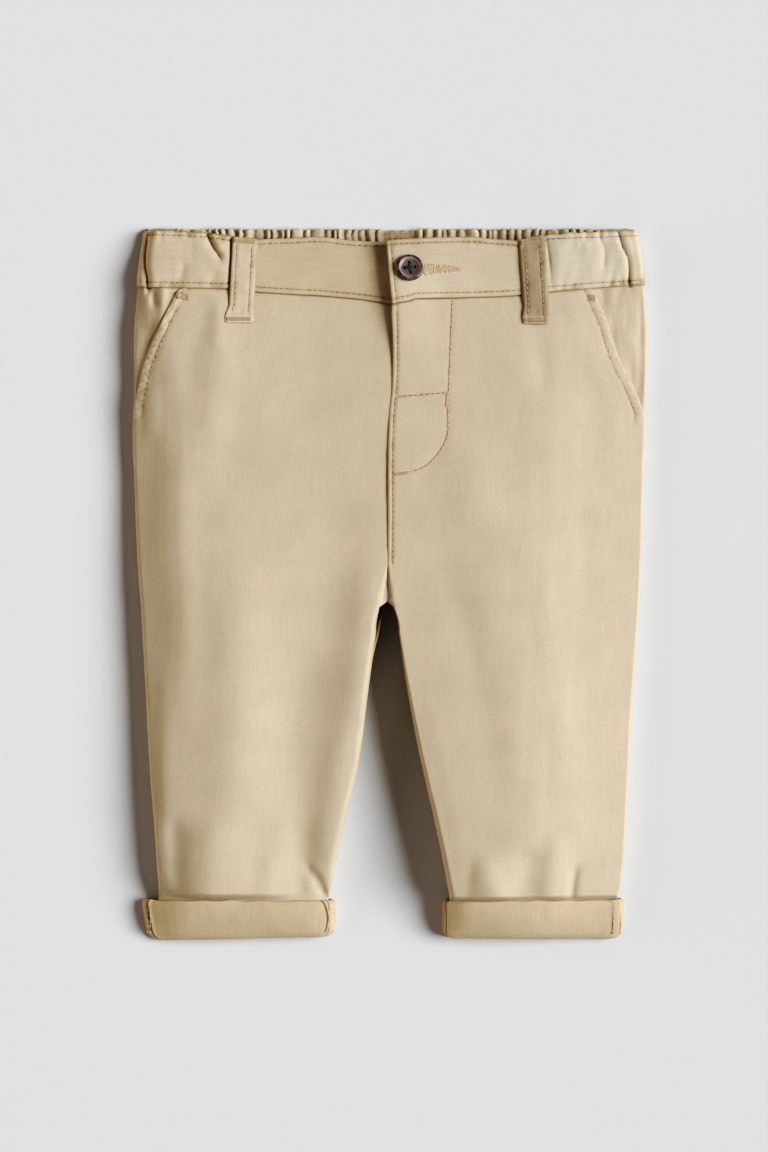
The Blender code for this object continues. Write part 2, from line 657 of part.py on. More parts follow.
def gather_wave(x):
    """Height of the back band's gathers at x, from 0 to 1; the joined centre and the sides are plain."""
    pitch = 2 * GATHER_SPAN / GATHERS
    wave = 0.5 - 0.5 * math.cos(2 * math.pi * x / pitch + 0.9 * math.sin(x / 9.0))
    plain_centre = smooth((abs(x) - FLAT_CENTRE) / 4)
    plain_side = 1 - smooth((abs(x) - GATHER_SPAN + 8) / 8)
    return wave * plain_centre * plain_side


def add_back_band():
    """The gathered elastic band, from one side seam round under the front to the other."""
    half_rows = []
    count = GATHERS * POINTS_PER_GATHER // 2
    for down in (0.0, 0.33, 0.67, 1.0):
        drop = BACK_TOP + down * (BACK_SEAM - SEAM_GAP / 2 - BACK_TOP)
        points = []
        for side in ("right", "left"):
            section = body_section(side, "back", drop)
            inward = -OUTWARD[side]
            angles = [QUARTER_TURN * k / 5 for k in range(5)]
            turn = section.round_out
            xs = [section.out + inward * turn * (1 - math.cos(angle)) for angle in angles]
            xs += steps(section.out + inward * turn, 0.0, count)
            if side == "left":
                xs.append(0.0)
                xs.reverse()
            for x in xs:
                lift = -GATHER_DEPTH * gather_wave(x)
                points.append(wall_points(side, "back", x, drop, lift, ELASTIC_WALL))
        half_rows.append(points)
    add_wall("waistband_back", half_rows, TWILL_SHADE)


def cuff_profile():
    """The turn-up's cut along the leg, as (depth in from its outer face, height above the fold)."""
    middle = CUFF_RETURN / 2
    return (
        (0.0, CUFF_HEIGHT - 1.3),
        (0.0, 2.6),
        (0.8, 0.9),
        (2.0, 0.15),
        (middle, 0.0),
        (CUFF_RETURN - 1.6, 0.5),
        (CUFF_RETURN, 2.4),
        (CUFF_RETURN, CUFF_RETURN_HEIGHT),
        (CUFF_CHANNEL, CUFF_RETURN_HEIGHT),
        (CUFF_CHANNEL, CUFF_WALL),
        (CUFF_WALL, CUFF_WALL),
        (CUFF_WALL, CUFF_HEIGHT - 1.1),
        (1.8, CUFF_HEIGHT - 0.1),
        (0.7, CUFF_HEIGHT - 0.1),
    )


def add_cuff(side):
    """A turn-up: its profile carried all the way round the end of the leg."""
    turns = [("front", across) for across in steps(0.0, 1.0, 16)]
    turns += [("back", 1 - across) for across in steps(0.0, 1.0, 16)]
    bm = bmesh.new()
    rings = []
    for face, across in turns:
        ring = []
        for depth, height in cuff_profile():
            drop = LENGTH - height
            base = cuff_point(side, face, across, drop)
            normal = surface_normal(cuff_point, side, face, across, drop)
            ring.append(bm.verts.new(base - normal * depth))
        rings.append(ring)
    for ring, following in zip(rings, rings[1:] + rings[:1]):
        for k in range(len(ring)):
            m = (k + 1) % len(ring)
            bm.faces.new((ring[k], ring[m], following[m], following[k]))
    add_object("cuff_" + side, bm, TWILL_REVERSE)


def add_loop(loop):
    """A belt loop: a strap that follows the band and panel under it and bows out between its tacks."""
    rows = []
    for share in steps(0.0, 1.0, 10) + [1.0]:
        row = []
        for offset in (-0.5, -0.25, 0.25, 0.5):
            x = loop.top_x + (loop.end_x - loop.top_x) * share + offset * LOOP_WIDTH
            skew = loop.top_skew * offset * (1 - share)
            drop = loop.top_drop + (loop.end_drop - loop.top_drop) * share + skew
            on_band = 1 - smooth((drop - BAND_SEAM(x)) / 5)
            lift = BAND_PROUD * on_band + LOOP_CLEARANCE + LOOP_WALL
            lift += LOOP_ARCH * math.sin(math.pi * share)
            lift += loop.tilt * (offset + 0.5) * (1 - 0.45 * share)
            row.append(wall_points(loop.side, "front", x, drop, lift, LOOP_WALL))
        rows.append(row)
    add_wall("belt_loop_" + loop.side, rows, TWILL)


def add_button():
    """A four-hole button with a raised rim, turned about its own axis and laid on the left band."""
    profile = (
        (0.0, 0.0), (4.6, 0.0), (5.8, 0.5), (BUTTON_RADIUS, 1.5), (6.0, 2.6), (5.2, 2.9),
        (4.5, 2.5), (3.9, 1.9), (0.0, 1.8),
    )
    bm = bmesh.new()
    verts = [bm.verts.new((radius, 0, height)) for radius, height in profile]
    edges = [bm.edges.new(pair) for pair in zip(verts, verts[1:])]
    bmesh.ops.spin(
        bm, geom=verts + edges, axis=(0, 0, 1), cent=(0, 0, 0), steps=32, angle=2 * math.pi
    )
    bmesh.ops.remove_doubles(bm, verts=bm.verts, dist=0.001)
    button = add_object("button", bm, HORN)
    for k in range(4):
        angle = BUTTON_TURN + QUARTER_TURN * (k + 0.5)
        reach = BUTTON_HOLE_SPACING / math.sqrt(2)
        bm = bmesh.new()
        bmesh.ops.create_cone(
            bm, cap_ends=True, segments=12, depth=8,
            radius1=BUTTON_HOLE_RADIUS, radius2=BUTTON_HOLE_RADIUS,
            matrix=Matrix.Translation((reach * math.cos(angle), reach * math.sin(angle), 1)),
        )
        cutter = add_object(f"button_hole_cutter_{k + 1}", bm, HORN)
        cutter.hide_render = True
        cutter.display_type = "WIRE"
        cutter.parent = button
        hole = button.modifiers.new(f"Hole {k + 1}", "BOOLEAN")
        hole.operation = "DIFFERENCE"
        hole.solver = "EXACT"
        hole.object = cutter
    lift = band_lift("left", BUTTON_X, BUTTON_DROP) + BUTTON_SEAT
    seat, below = wall_points("left", "front", BUTTON_X, BUTTON_DROP, lift, CLOTH)
    button.location = seat * MM
    button.rotation_mode = "QUATERNION"
    button.rotation_quaternion = (seat - below).to_track_quat("Z", "Y")


def main():
    for old in list(bpy.data.objects):
        bpy.data.objects.remove(old)
    for side in ("right", "left"):
        add_back(side)
        add_front(side)
        add_hip(side)
        add_front_band(side)
        add_cuff(side)
    add_back_band()
    for loop in BELT_LOOPS:
        add_loop(loop)
    add_button()


main()
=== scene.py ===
"""Baby's chino trousers in sand-coloured cotton twill, laid flat face up on a pale floor.

The cloth follows the same sections as the solids it replaces: two fronts and their pocket pieces over two
backs, a waistband that is plain at the front and gathered at the back, belt loops and turned-up leg ends. On
top come the folds, the lips of the seams, the puckers beside the stitching and the sewing itself.

Left and right are the wearer's: the right leg is at -X and the waist at +Y. Lengths are in millimetres until
MM turns them into metres. "Drop" is the distance down from the top of the waist.
"""

import math
from collections import namedtuple

import bmesh
import bpy
import numpy as np
from mathutils import Matrix, Vector


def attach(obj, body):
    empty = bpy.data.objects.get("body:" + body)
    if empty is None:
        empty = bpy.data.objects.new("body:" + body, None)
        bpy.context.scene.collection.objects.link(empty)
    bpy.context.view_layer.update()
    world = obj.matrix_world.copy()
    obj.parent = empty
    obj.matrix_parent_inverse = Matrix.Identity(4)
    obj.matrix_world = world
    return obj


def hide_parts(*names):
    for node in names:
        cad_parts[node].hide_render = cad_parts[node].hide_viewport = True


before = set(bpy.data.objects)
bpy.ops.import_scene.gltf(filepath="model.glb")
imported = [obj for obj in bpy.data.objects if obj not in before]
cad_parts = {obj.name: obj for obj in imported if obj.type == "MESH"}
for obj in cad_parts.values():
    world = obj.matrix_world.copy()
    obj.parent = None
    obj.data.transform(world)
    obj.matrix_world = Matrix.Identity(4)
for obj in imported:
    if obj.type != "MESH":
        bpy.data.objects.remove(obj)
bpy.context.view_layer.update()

MM = 0.001
TAU = 2 * math.pi
QUARTER_TURN = math.pi / 2
SIDES = ("right", "left")
OUTWARD = {"right": -1, "left": 1}

# ---------------------------------------------------------------- cut and sizes

LENGTH = 342.7          # top of the back band to the fold of the turn-ups
LEG_END = 340
CLOTH = 0.7             # wall of a leg panel
SEAM_GAP = 0.3          # between two pieces at a seam
BAND_WALL = 1.3
BAND_PROUD = 0.5
BAND_FRILL = 0.55       # how far the top edge wavers over the elastic
BAND_ELASTIC = 74       # the elastic starts this far from the centre line
ELASTIC_WALL = 2.2
LAP_GAP = 0.15          # between a lapped edge and the cloth under it

FLY_STEP = 0.6          # height of the fly's edge above the cloth beside it
FLY_UNDERLAP = 8
FLY_END = 130
FLY_JOINED = 152
CROTCH_TOP = 166
CROTCH = 180.5
BAND_UNDERLAP = 12
BAND_END_TOP = -1.4
BAND_END_SLANT = 2.8

HIP_UNDERLAP = 12
HIP_END = 100
HIP_SINK = 0.35
FRONT_RISE = 0.45

GATHER_PITCH = 4.1
GATHER_DEPTH = 0.9
GATHER_RISE = 3
GATHER_SPAN = 108
FLAT_CENTRE = 5.8
FLAT_CENTRE_X = 3.8

LOOP_WIDTH = 12
LOOP_LENGTH = 42
LOOP_WALL = 0.9
LOOP_CLEARANCE = 0.15
LOOP_ARCH = 0.6
LOOP_CORNER = 1.5
LOOP_TURNED_END = 3.4

BUTTON_X = 9.8
BUTTON_DROP = 20.7
BUTTON_RADIUS = 6.4
BUTTON_HOLE_RADIUS = 0.8
BUTTON_HOLE_SPACING = 3.3
BUTTON_TURN = math.radians(-20)
BUTTON_SEAT = 0.1
BUTTON_THINNESS = 0.78
BUTTON_GROWN = 1.03

# Sections down the garment at these drops: outer and inner edges, the height of the top on each side (crown),
# of the side seams and of the underside, how much lower the top is at each side seam than in the middle
# (fall), and how wide that fall is on the right
DROPS = (0, 12, 27, 39, 54, 70, 95, 112, 131, 160, 180.5, 182, 194.5, 207, 233, 256, 275, 294, 309, 318,
    322.6, LEG_END)
SECTIONS = {
    "right_out": (-117.4, -118.8, -120.6, -121.6, -122.6, -122.7, -122.8, -122.7, -122, -120.9, -119.2,
        -119.1, -118.5, -117.8, -116.4, -115.2, -113.8, -112.3, -111.4, -110.7, -110.9, -113.1),
    "right_in": (-0.85, -0.85, -0.85, -0.85, -0.85, -0.85, -0.85, -0.85, -0.85, -0.85, -0.85, -4.3, -6.1,
        -8, -11.5, -14.6, -19.2, -23.2, -26.6, -28.4, -29.2, -28.5),
    "left_in": (-0.55, -0.55, -0.55, -0.55, -0.55, -0.55, -0.55, -0.55, -0.55, -0.55, -0.55, 2, 4.6, 6.5,
        10.8, 15.4, 19.7, 24, 27, 28.6, 29.2, 28.6),
    "left_out": (118, 119.9, 122.2, 123.1, 123.9, 123.4, 122.6, 122.2, 121.8, 121, 120, 119.9, 119.1, 118.2,
        116.3, 115.2, 114.2, 113.2, 112.2, 110.9, 109.8, 109.7),
    "right_crown": (7.8, 10.6, 13.8, 15.6, 17.2, 18.3, 19, 19.2, 19.8, 21, 21.5, 21.5, 20.9, 20.3, 19.6,
        19.2, 19, 18.8, 18.4, 17.8, 17.4, 16),
    "left_crown": (14.6, 16, 17, 17.7, 17.9, 18.3, 19.2, 19.8, 20.3, 21, 21.5, 21.6, 22.5, 23.4, 25.2, 25.8,
        25.8, 25.2, 24.4, 23.6, 22.6, 22),
    "seam_z": (1.4, 2.4, 3.6, 4.4, 4.8, 5, 5, 5, 5.2, 5.5, 5.6, 5.6, 5.6, 5.6, 5.6, 5.6, 5.6, 5.4, 4.8, 4.2,
        3, 1.5),
    "seam_in": (6, 6, 6.2, 6.5, 7, 7.4, 7.9, 8.2, 8.4, 8.6, 8.8, 8.9, 11.6, 13.4, 14.4, 14.6, 14.6, 14.2,
        13.8, 12.6, 9, 1.8),
    "under_z": (0, 0, 0, 0, 0, 0, 0, 0, 0, 0, 0, 0, 0, 0, 0, 0, 0, 0, 0.2, 0.5, 0.9, 0.9),
    "right_fall": (4.8, 5, 6, 6.6, 7.6, 8.8, 10, 10.4, 10.6, 10.6, 10.2, 10.2, 9.4, 8.8, 7.8, 7, 6.2, 5.6,
        6.2, 8, 9, 9),
    "left_fall": (3.6, 5.2, 6.6, 7.7, 8.2, 8.9, 9.9, 10.4, 10.9, 11.6, 12, 12, 12.3, 12.6, 13.6, 14.2, 14.4,
        14.2, 13.4, 12.6, 12, 12),
    "right_spread": (0.14, 0.16, 0.24, 0.5, 0.8, 1, 1.1, 1.1, 1.05, 1, 1, 1, 0.9, 0.85, 0.62, 0.5, 0.42,
        0.4, 0.36, 0.4, 0.7, 0.9),
}
SQUARENESS = 3          # of the rounding at the edges: 2 would be an ellipse
ROUND_OUT = {"right": 2.4, "left": 1.2}     # how far in a side seam is rounded
INNER_ROUNDS = {
    "right": ((0, 2.4), (180.5, 2.6), (207, 3.4), (300, 3.8), (319, 4.6), (LEG_END, 5)),
    "left": ((0, 1.6), (180.5, 0.8), (207, 1.1), (240, 2.2), (300, 2.8), (319, 3.2), (LEG_END, 5)),
}

# The top's fall towards a side seam, as (distance in from it, share of the fall left)
SIDE_FALL = {
    "right": (
        (0, 1), (5, 0.77), (10, 0.52), (13, 0.39), (18, 0.24), (24, 0.145), (30, 0.085), (36, 0.04), (47, 0),
    ),
    "left": ((0, 1), (10, 0.8), (20, 0.6), (30, 0.4), (40, 0.208), (50, 0.08), (60, 0.024), (75, 0)),
}

# and towards the inner edge of each leg, by drop
INNER_FALL = {
    "right": ((182, 0), (298, 0.4), (312, 2.6), (319, 4.2), (LEG_END, 5)),
    "left": ((182, 0), (198, 0.1), (227, 0.5), (246, 0.8), (300, 0.9), (LEG_END, 1)),
}
INNER_FALL_REACH = 12
BACK_ROUND = 6          # how far in the back's side seams are rounded
BACK_CROTCH_SHOW = 2.4
UNDERCUT = 10           # a leg's underside turns in this far below its inner edge
UNDERCUT_SQUARENESS = 1.4

CUFF_HEIGHT = 19.8
CUFF_WALL = 1.4
CUFF_CHANNEL = 5.1
CUFF_RETURN = 6.3
CUFF_RETURN_HEIGHT = 7
CUFF_EDGES = {"right": (-118.2, -25.6), "left": (112.6, 25.5)}
CUFF_CROWN = {"right": 16.8, "left": 20}
CUFF_SEAM_Z = 5
CUFF_SIDE_Z = 2.2
CUFF_ROUND = 3.4
CUFF_FALL = {"right": 11, "left": 12.4}             # the turn-up's top is this much lower at the side seam
CUFF_INNER_FALL = {"right": 5, "left": 6.4}         # and this much lower at the inner end
CUFF_FOLD_SHARE = 0.56  # of its height at the top edge that a turn-up still has at its fold
CUFF_FOLD_RISE = {"right": (0, 1.8), "left": (0.7, 1)}      # of the fold at the outer and at the inner end
CUFF_NARROWED = {"right": 3.2, "left": 0.8}         # how far in the fold's outer end lies
LEG_SETTLES = {"right": 319.2, "left": 320.2}       # from here down a leg sinks under its turn-up

# Where a turn-up's own seams show: the leg's inner seam as a slit, and the outer seam's turned-back edge
CuffSeams = namedtuple("CuffSeams", "slit_x slit_lean outseam_x outseam_width")
CUFF_SEAMS = {"right": CuffSeams(-31.6, 2.2, -115.2, 1.5), "left": CuffSeams(26.35, -0.2, 109.2, 3.4)}

# Drops of the front band's top edge and of the seam below it, from side to side
BAND_X = (-121, -116, -75, -63, -38, -26, -2, 2, 12, 30, 43, 63, 76, 101, 122)
BAND_TOPS = (2.6, 1.6, 4.6, 6.2, 4.8, 5.5, 7.2, 6.7, 6.2, 5.5, 5.3, 7.4, 4, 2.9, 1.9)
BAND_SEAMS = (28.4, 29.3, 29.9, 31.6, 33, 34, 37, 37.9, 35.2, 34.6, 34.2, 33.2, 31.7, 29.5, 27.8)
WAIST_SEAM = 33
SEAM_EASE = 30
BACK_TOP = 0.6
BACK_SEAM = 29.6

# Slanted pocket mouths: distance of the edge from the centre line at each drop
MOUTH_DROPS = (29.8, 41, 50, 61.5, 73, 84, 94)
MOUTHS = {
    "right": (100.8, 106.7, 110.9, 116.1, 119.5, 121.9, 123.6),
    "left": (98, 103, 106.4, 110, 115.7, 120.6, 124.6),
}
POCKET_END = 94
ROPE_PITCH = 2.7        # between the slanting ripples that washing twists into the hem of a pocket mouth
ROPE_HEIGHT = {"right": 0.75, "left": 0.35}

FLY_EDGE = ((38, 1.4), (62, 1.9), (82, 1), (107, -0.5), (131, -0.5), (164, -0.7))
LAP_LOFT = (
    (5, 0.1), (12, 0.5), (20, 1.6), (30, 2.8), (38, 2.9), (46, 2.6), (56, 1.8), (66, 1), (78, 0.3), (92, 0),
)
LAP_LOFT_REACH = 26
LAP_EASE = 40           # the lapped cloth settles onto the panel within this distance
UNDERLAP_SHARE = 0.36   # of the lap's loft that the cloth under it swells up
UNDERLAP_REACH = 11

# The inner edges of the legs just above the crotch, where the cloth between them sinks
CROTCH_SHOULDERS = {
    "right": ((152, -0.6), (163, -1.1), (169.5, -2.4), (182, -4.8)),
    "left": ((152, 1.2), (166, 0.2), (180.5, 1.9), (190, 3.4)),
}
CROTCH_SINK = 2.3
CROTCH_PARTS = 178      # from here down the fronts round over into the legs' inner sides
CROTCH_PARTED = 190

BeltLoop = namedtuple("BeltLoop", "side top_x top_drop end_x end_drop top_skew tilt flare")
BELT_LOOPS = (
    BeltLoop("right", -69, 5.2, -71, 46.4, 0.9, -0.9, 1.7),
    BeltLoop("left", 68.2, 5.4, 70.8, 47, -2.6, 4.6, 0.9),
)

# Folds: how far each reaches to the side, its height or depth, how much wider it is on its far side, how
# strong it still is at its two ends, and then x and drop of each point of its path
FOLDS = (
    # right leg: the long ridge below the belt loop, the trough inside it and the inner edge's ridge
    (9, 1.2, 0, 1, 0, -79.2, 45, -81.6, 56.6, -82.6, 76, -82.6, 97.4, -78.2, 114.2),
    (17, 4, 0.15, 0, 1, -73, 118, -72.5, 179, -73.4, 227, -75.4, 270, -76.8, 299, -76.8, 324),
    (22, -1.1, 0, 0.8, 0, -37, 40, -37.5, 75, -36, 110),
    (17, -1.9, 0, 0, 0.3, -28, 112, -27.8, 160, -31, 183, -36, 204),
    (14.5, -2.6, 0, 0, 1, -29, 176, -36, 204, -42.2, 227, -43.2, 255.8, -42.7, 284.6, -41.3, 308.6, -40.8,
        324),
    (7.5, -1.2, 0, 1, 0, -41, 323, -42, 300, -43, 280),
    (8.5, 1.7, 0, 0, 1, -11, 200, -16.8, 227, -23.5, 255.8, -26.4, 275, -29.3, 294, -30.6, 320),
    (1.8, -0.8, 0, 1, 0, -29.5, 322.5, -33, 314, -36.5, 308),
    (9, 1.8, 0, 1, 0, -88, 323, -86.5, 300, -84, 278),
    (5, 1, 0, 0, 0, -113, 72, -113.2, 90, -113, 108),
    (8.5, 0.9, 0, 0, 0, -89.5, 72, -89.5, 102, -90, 138),
    (2.2, -1.1, 0, 0, 1, -41.5, 303, -36, 312, -31.5, 321),
    (5.5, 0.8, 0, 1, 0, -59, 323, -57.5, 308, -55, 297),
    (7.5, 1.3, 0, 0.3, 0, -101.3, 59, -99.8, 102, -98.9, 141, -97, 179, -97.4, 222, -98.4, 256),
    (10, 2.2, 0, 0, 0, -6.2, 150, -9.1, 174, -12, 198, -14.9, 222, -18.7, 246),
    (11, 1.3, 0, 0, 1, -53.3, 265, -51.4, 294, -50.4, 321),
    (5.5, -2, 0, 0, 1, -103.4, 278, -103, 299, -103.4, 322),
    # left leg
    (24, 2.1, 0, 0, 0.3, 46.6, 88, 50.9, 131, 53.3, 179, 58.1, 227, 65.9, 275, 73, 306),
    (7.5, 0.9, 0, 0, 0.3, 71, 112, 73.4, 159.8, 76.3, 188.6, 80.2, 217.4, 83, 246.2, 85.9, 275, 87.8, 296),
    (6.5, -0.55, 0, 0, 0, 90.5, 122, 93.6, 160, 96.5, 192),
    (8.5, -0.8, 0, 0, 0, 18.7, 125, 29.3, 169.4, 37.9, 198.2, 44.6, 227, 50.4, 265.4, 52, 290),
    (12, 1.2, 0, 0, 0, 43, 92, 42, 122, 37, 152),
    (8.5, 3, 0, 1, 0, 50.8, 325, 49.2, 317, 47.2, 309, 45.5, 294),
    (6.5, -1.2, 0, 1, 0, 66, 325, 67, 308, 68, 296),
    (3.2, -0.6, 0, 1, 0, 37.4, 323, 38.4, 311, 39, 300),
    (7, 1.7, 0, 1, 0, 77, 325, 78, 311, 80, 299, 83, 287),
    (2.3, -1.7, 0, 1, 0, 87.2, 325, 88, 314, 90.4, 303),
    # hips and seat
    (5, -0.5, 0, 0, 0, -104, 62, -108.5, 80, -111.5, 98, -110, 120),
    (5.5, -0.7, 0, 0.6, 0, 69.6, 47, 72.5, 64, 74, 83),
    (2.6, 0.4, 0, 0.4, 0, -118, 33, -117, 45, -120, 62),
    (4, -0.4, 0, 0, 0, 26, 96, 24, 108, 17, 118, 13, 128),
    # waistband
    (1.35, -4.2, 0, 0.8, 0, -115.4, 3, -116.2, 12, -116.4, 20, -115.4, 28, -116.4, 35),
    (1.6, -1.2, 0, 1, 0, -113, 31, -112.4, 40),
    (2.2, 0.9, 0, 1, 0, -108, 30, -109, 42, -111, 52),
    (1.7, -3, 0.2, 1, 0, -87.2, 4, -84, 10, -81.6, 14, -79.4, 18.5),
    (4.5, 1, 0, 0.6, 0, -82, 34, -82.4, 47, -83, 62),
    (2.6, 0.8, 0, 1, 0, -84, 4.5, -79.5, 12),
    (1.1, -1.7, 0, 1, 1, -75.6, 6, -75.4, 16, -75.6, 27),
    (2.4, -0.8, 0, 1, 0, -100, 29.5, -98.9, 21, -97.9, 16),
    (2.4, -0.6, 0, 1, 0, -84.5, 28, -83, 19.5),
    (4, -0.5, 0, 0.5, 0.5, 104.6, 6, 106, 23),
    (0.95, -2.3, -0.2, 1, 1, 109, 1.5, 111, 8, 113.6, 14, 114.6, 19, 115, 27.5),
    (1.5, 0.7, 0, 0.6, 0, 112.6, 2, 114.2, 8, 116.4, 14),
    (1.6, -0.8, 0, 0.6, 0, 101, 4, 103, 13, 102.2, 24),
    (0.9, -0.6, 0, 1, 0.4, 75, 6, 76.6, 16, 77.4, 27),
)

# ---------------------------------------------------------------- sewing

STITCH_PITCH = 2.7      # from one stitch to the next
STITCH_LENGTH = 1.9
THREAD_RADIUS = 0.25
NEEDLE_HOLE_SHADE = 0.7       # length of the painted shade of a needle hole between two stitches
BAND_STITCH_IN = 2.3    # topstitching of the waistband, in from its edges
MOUTH_STITCH_IN = 4.3   # and of the pocket mouths
FLY_STITCH_IN = 2.3     # and of the edge of the fly
TACK_PITCH = 0.42       # between the threads of a bar tack
TACK_THREAD = 0.2
BUTTONHOLE = ((16.2, 21.2), (34.4, 20.6))
BUTTONHOLE_BITE = 2.6

# The curved stitching that shows where the fly's facing ends, and the short line across it
FLY_STITCH = (
    (30.2, 35.2), (29.4, 56), (28.6, 75.4), (28.2, 90), (28, 100), (24.8, 107), (20.4, 112.5), (15.2, 116.2),
    (10, 117.7),
)
FLY_CROSS_STITCH = ((4.6, 81.8), (26.4, 79.9))

# Bar tacks of the fly and of the pockets, as start, end and width
FLY_TACKS = (((27.9, 79.9), (27.6, 86.7), 1.6), ((2.2, 119.2), (9.2, 118.1), 1.5))
POCKET_TACKS = {"right": (6.6, 32.3), "left": (4.2, 33.6)}      # their length and starting drop
POCKET_TACK_END = 33.4
POCKET_TACK_WIDTH = 1.7


# ---------------------------------------------------------------- curves and noise

def smooth(value):
    """0 up to value 0, 1 from value 1 on, and an even curve between them."""
    value = np.clip(value, 0, 1)
    return value * value * (3 - 2 * value)


def fades(value, start, end):
    """1 up to start and 0 from end on."""
    return 1 - smooth((value - start) / (end - start))


class Curve:
    """A smooth curve through (position, value) pairs that never overshoots between them."""

    def __init__(self, pairs):
        self.places, self.values = np.array(list(pairs), float).T
        steps = np.diff(self.values) / np.diff(self.places)
        product = steps[:-1] * steps[1:]
        total = steps[:-1] + steps[1:]
        inner = np.where(product > 0, 2 * product / np.where(total == 0, 1, total), 0)
        self.slopes = np.concatenate([steps[:1], inner, steps[-1:]])

    def __call__(self, place):
        place = np.clip(place, self.places[0], self.places[-1])
        i = np.clip(np.searchsorted(self.places, place, side="right") - 1, 0, len(self.places) - 2)
        width = self.places[i + 1] - self.places[i]
        t = (place - self.places[i]) / width
        from_left = self.values[i] + t * width * self.slopes[i]
        from_right = self.values[i + 1] - (1 - t) * width * self.slopes[i + 1]
        bend = 2 * (self.values[i + 1] - self.values[i]) - width * (self.slopes[i] + self.slopes[i + 1])
        return from_left * (1 - t) + from_right * t + t * (1 - t) * (1 - 2 * t) * bend / 2


def smooth_path(points, pieces=6):
    """A rounded path through the points, with that many short lines from each to the next."""
    points = np.array(points, float)
    if len(points) < 3:
        share = np.linspace(0, 1, pieces + 1)[:, None]
        return points[0] * (1 - share) + points[-1] * share
    ends = np.vstack([2 * points[0] - points[1], points, 2 * points[-1] - points[-2]])
    t = np.arange(pieces)[:, None] / pieces
    spans = [
        0.5 * (2 * b + (c - a) * t + (2 * a - 5 * b + 4 * c - d) * t**2 + (3 * b - a - 3 * c + d) * t**3)
        for a, b, c, d in zip(ends, ends[1:], ends[2:], ends[3:])
    ]
    return np.vstack(spans + [points[-1:]])


def to_path(path, x, drop):
    """Square of the distance to a path, share of the way along it, and on which side of it a point is."""
    best = np.full(x.shape, np.inf)
    share, turn = np.zeros_like(x), np.zeros_like(x)
    for k, (start, end) in enumerate(zip(path, path[1:])):
        along = end - start
        t = np.clip(((x - start[0]) * along[0] + (drop - start[1]) * along[1]) / (along @ along), 0, 1)
        off_x, off_drop = x - start[0] - t * along[0], drop - start[1] - t * along[1]
        distance = off_x**2 + off_drop**2
        closer = distance < best
        best = np.where(closer, distance, best)
        share = np.where(closer, (k + t) / (len(path) - 1), share)
        turn = np.where(closer, np.sign(along[0] * off_drop - along[1] * off_x), turn)
    return best, share, turn


def scatter(u, v, seed):
    """A number between -1 and 1 that looks random, the same each time for a whole-numbered place."""
    value = np.sin(u * 127.1 + v * 311.7 + seed * 74.7) * 43758.5453
    return (value - np.floor(value)) * 2 - 1


def noise(u, v, seed):
    """Soft noise between -1 and 1 that changes over about one unit."""
    cell_u, cell_v = np.floor(u), np.floor(v)
    s, t = smooth(u - cell_u), smooth(v - cell_v)
    near, far = (
        scatter(cell_u, row, seed) * (1 - s) + scatter(cell_u + 1, row, seed) * s
        for row in (cell_v, cell_v + 1)
    )
    return near * (1 - t) + far * t


def unit(directions):
    return directions / np.linalg.norm(directions, axis=-1, keepdims=True)


def curves(pairs_of_side):
    return {side: Curve(pairs) for side, pairs in pairs_of_side.items()}


STATION = {name: Curve(zip(DROPS, values)) for name, values in SECTIONS.items()}
MOUTH = {side: Curve(zip(MOUTH_DROPS, values)) for side, values in MOUTHS.items()}
BAND_TOP = Curve(zip(BAND_X, BAND_TOPS))
BAND_SEAM = Curve(zip(BAND_X, BAND_SEAMS))
FLY = Curve(FLY_EDGE)
LOFT = Curve(LAP_LOFT)
INNER_ROUND = curves(INNER_ROUNDS)
TOWARDS_INNER = curves(INNER_FALL)
TOWARDS_SIDE = curves(SIDE_FALL)
SHOULDER = curves(CROTCH_SHOULDERS)


# ---------------------------------------------------------------- the body's surface

def fold_height(x, drop):
    """Height that the folds add to the upper surface."""
    total = np.zeros_like(x)
    for reach, height, lean, start, end, *path in FOLDS:
        path = smooth_path(np.reshape(path, (-1, 2)))
        low, high = path.min(0) - 3 * reach, path.max(0) + 3 * reach
        near = (x > low[0]) & (x < high[0]) & (drop > low[1]) & (drop < high[1])
        if near.any():
            distance, share, turn = to_path(path, x[near], drop[near])
            strength = start + (1 - start) * smooth(share / 0.35)
            strength = strength * (end + (1 - end) * smooth((1 - share) / 0.35))
            total[near] += height * strength * np.exp(-distance / (reach * (1 + lean * turn)) ** 2)
    return total


def rounded(distance, reach, squareness=SQUARENESS):
    """Rise from 0 at an edge to 1 where its rounding ends."""
    out = 1 - np.clip(distance / reach, 0, 1)
    return (1 - out**squareness) ** (1 / squareness)


def side_x(side, drop):
    """x of a side seam."""
    return STATION[side + "_out"](drop)


def inner_x(side, face, drop):
    """x of a half's inner edge: the back shows a little beside the right leg below the crotch."""
    inn = STATION[side + "_in"](drop)
    if face == "back" and side == "right":
        inn = inn + np.where(drop > CROTCH, BACK_CROTCH_SHOW * (1 - smooth((drop - CROTCH) / 30)), 0)
    return inn


def front_top(side, x, drop, place, left_over):
    """Height of the front's top before its edges round over, that far in from its outer and inner edges."""
    spread = STATION["right_spread"](drop) if side == "right" else 1
    top = STATION[side + "_crown"](drop) - STATION[side + "_fall"](drop) * TOWARDS_SIDE[side](place / spread)
    top = top - TOWARDS_INNER[side](drop) * (1 - smooth(left_over / INNER_FALL_REACH)) + fold_height(x, drop)
    beyond = (SHOULDER[side](drop) - x) * OUTWARD[side]
    sunk = smooth((drop - FLY_JOINED - 8) / 14)
    return top - CROTCH_SINK * sunk * smooth((beyond + 0.4) / 1.6) * (1 - smooth((drop - CROTCH) / 6))


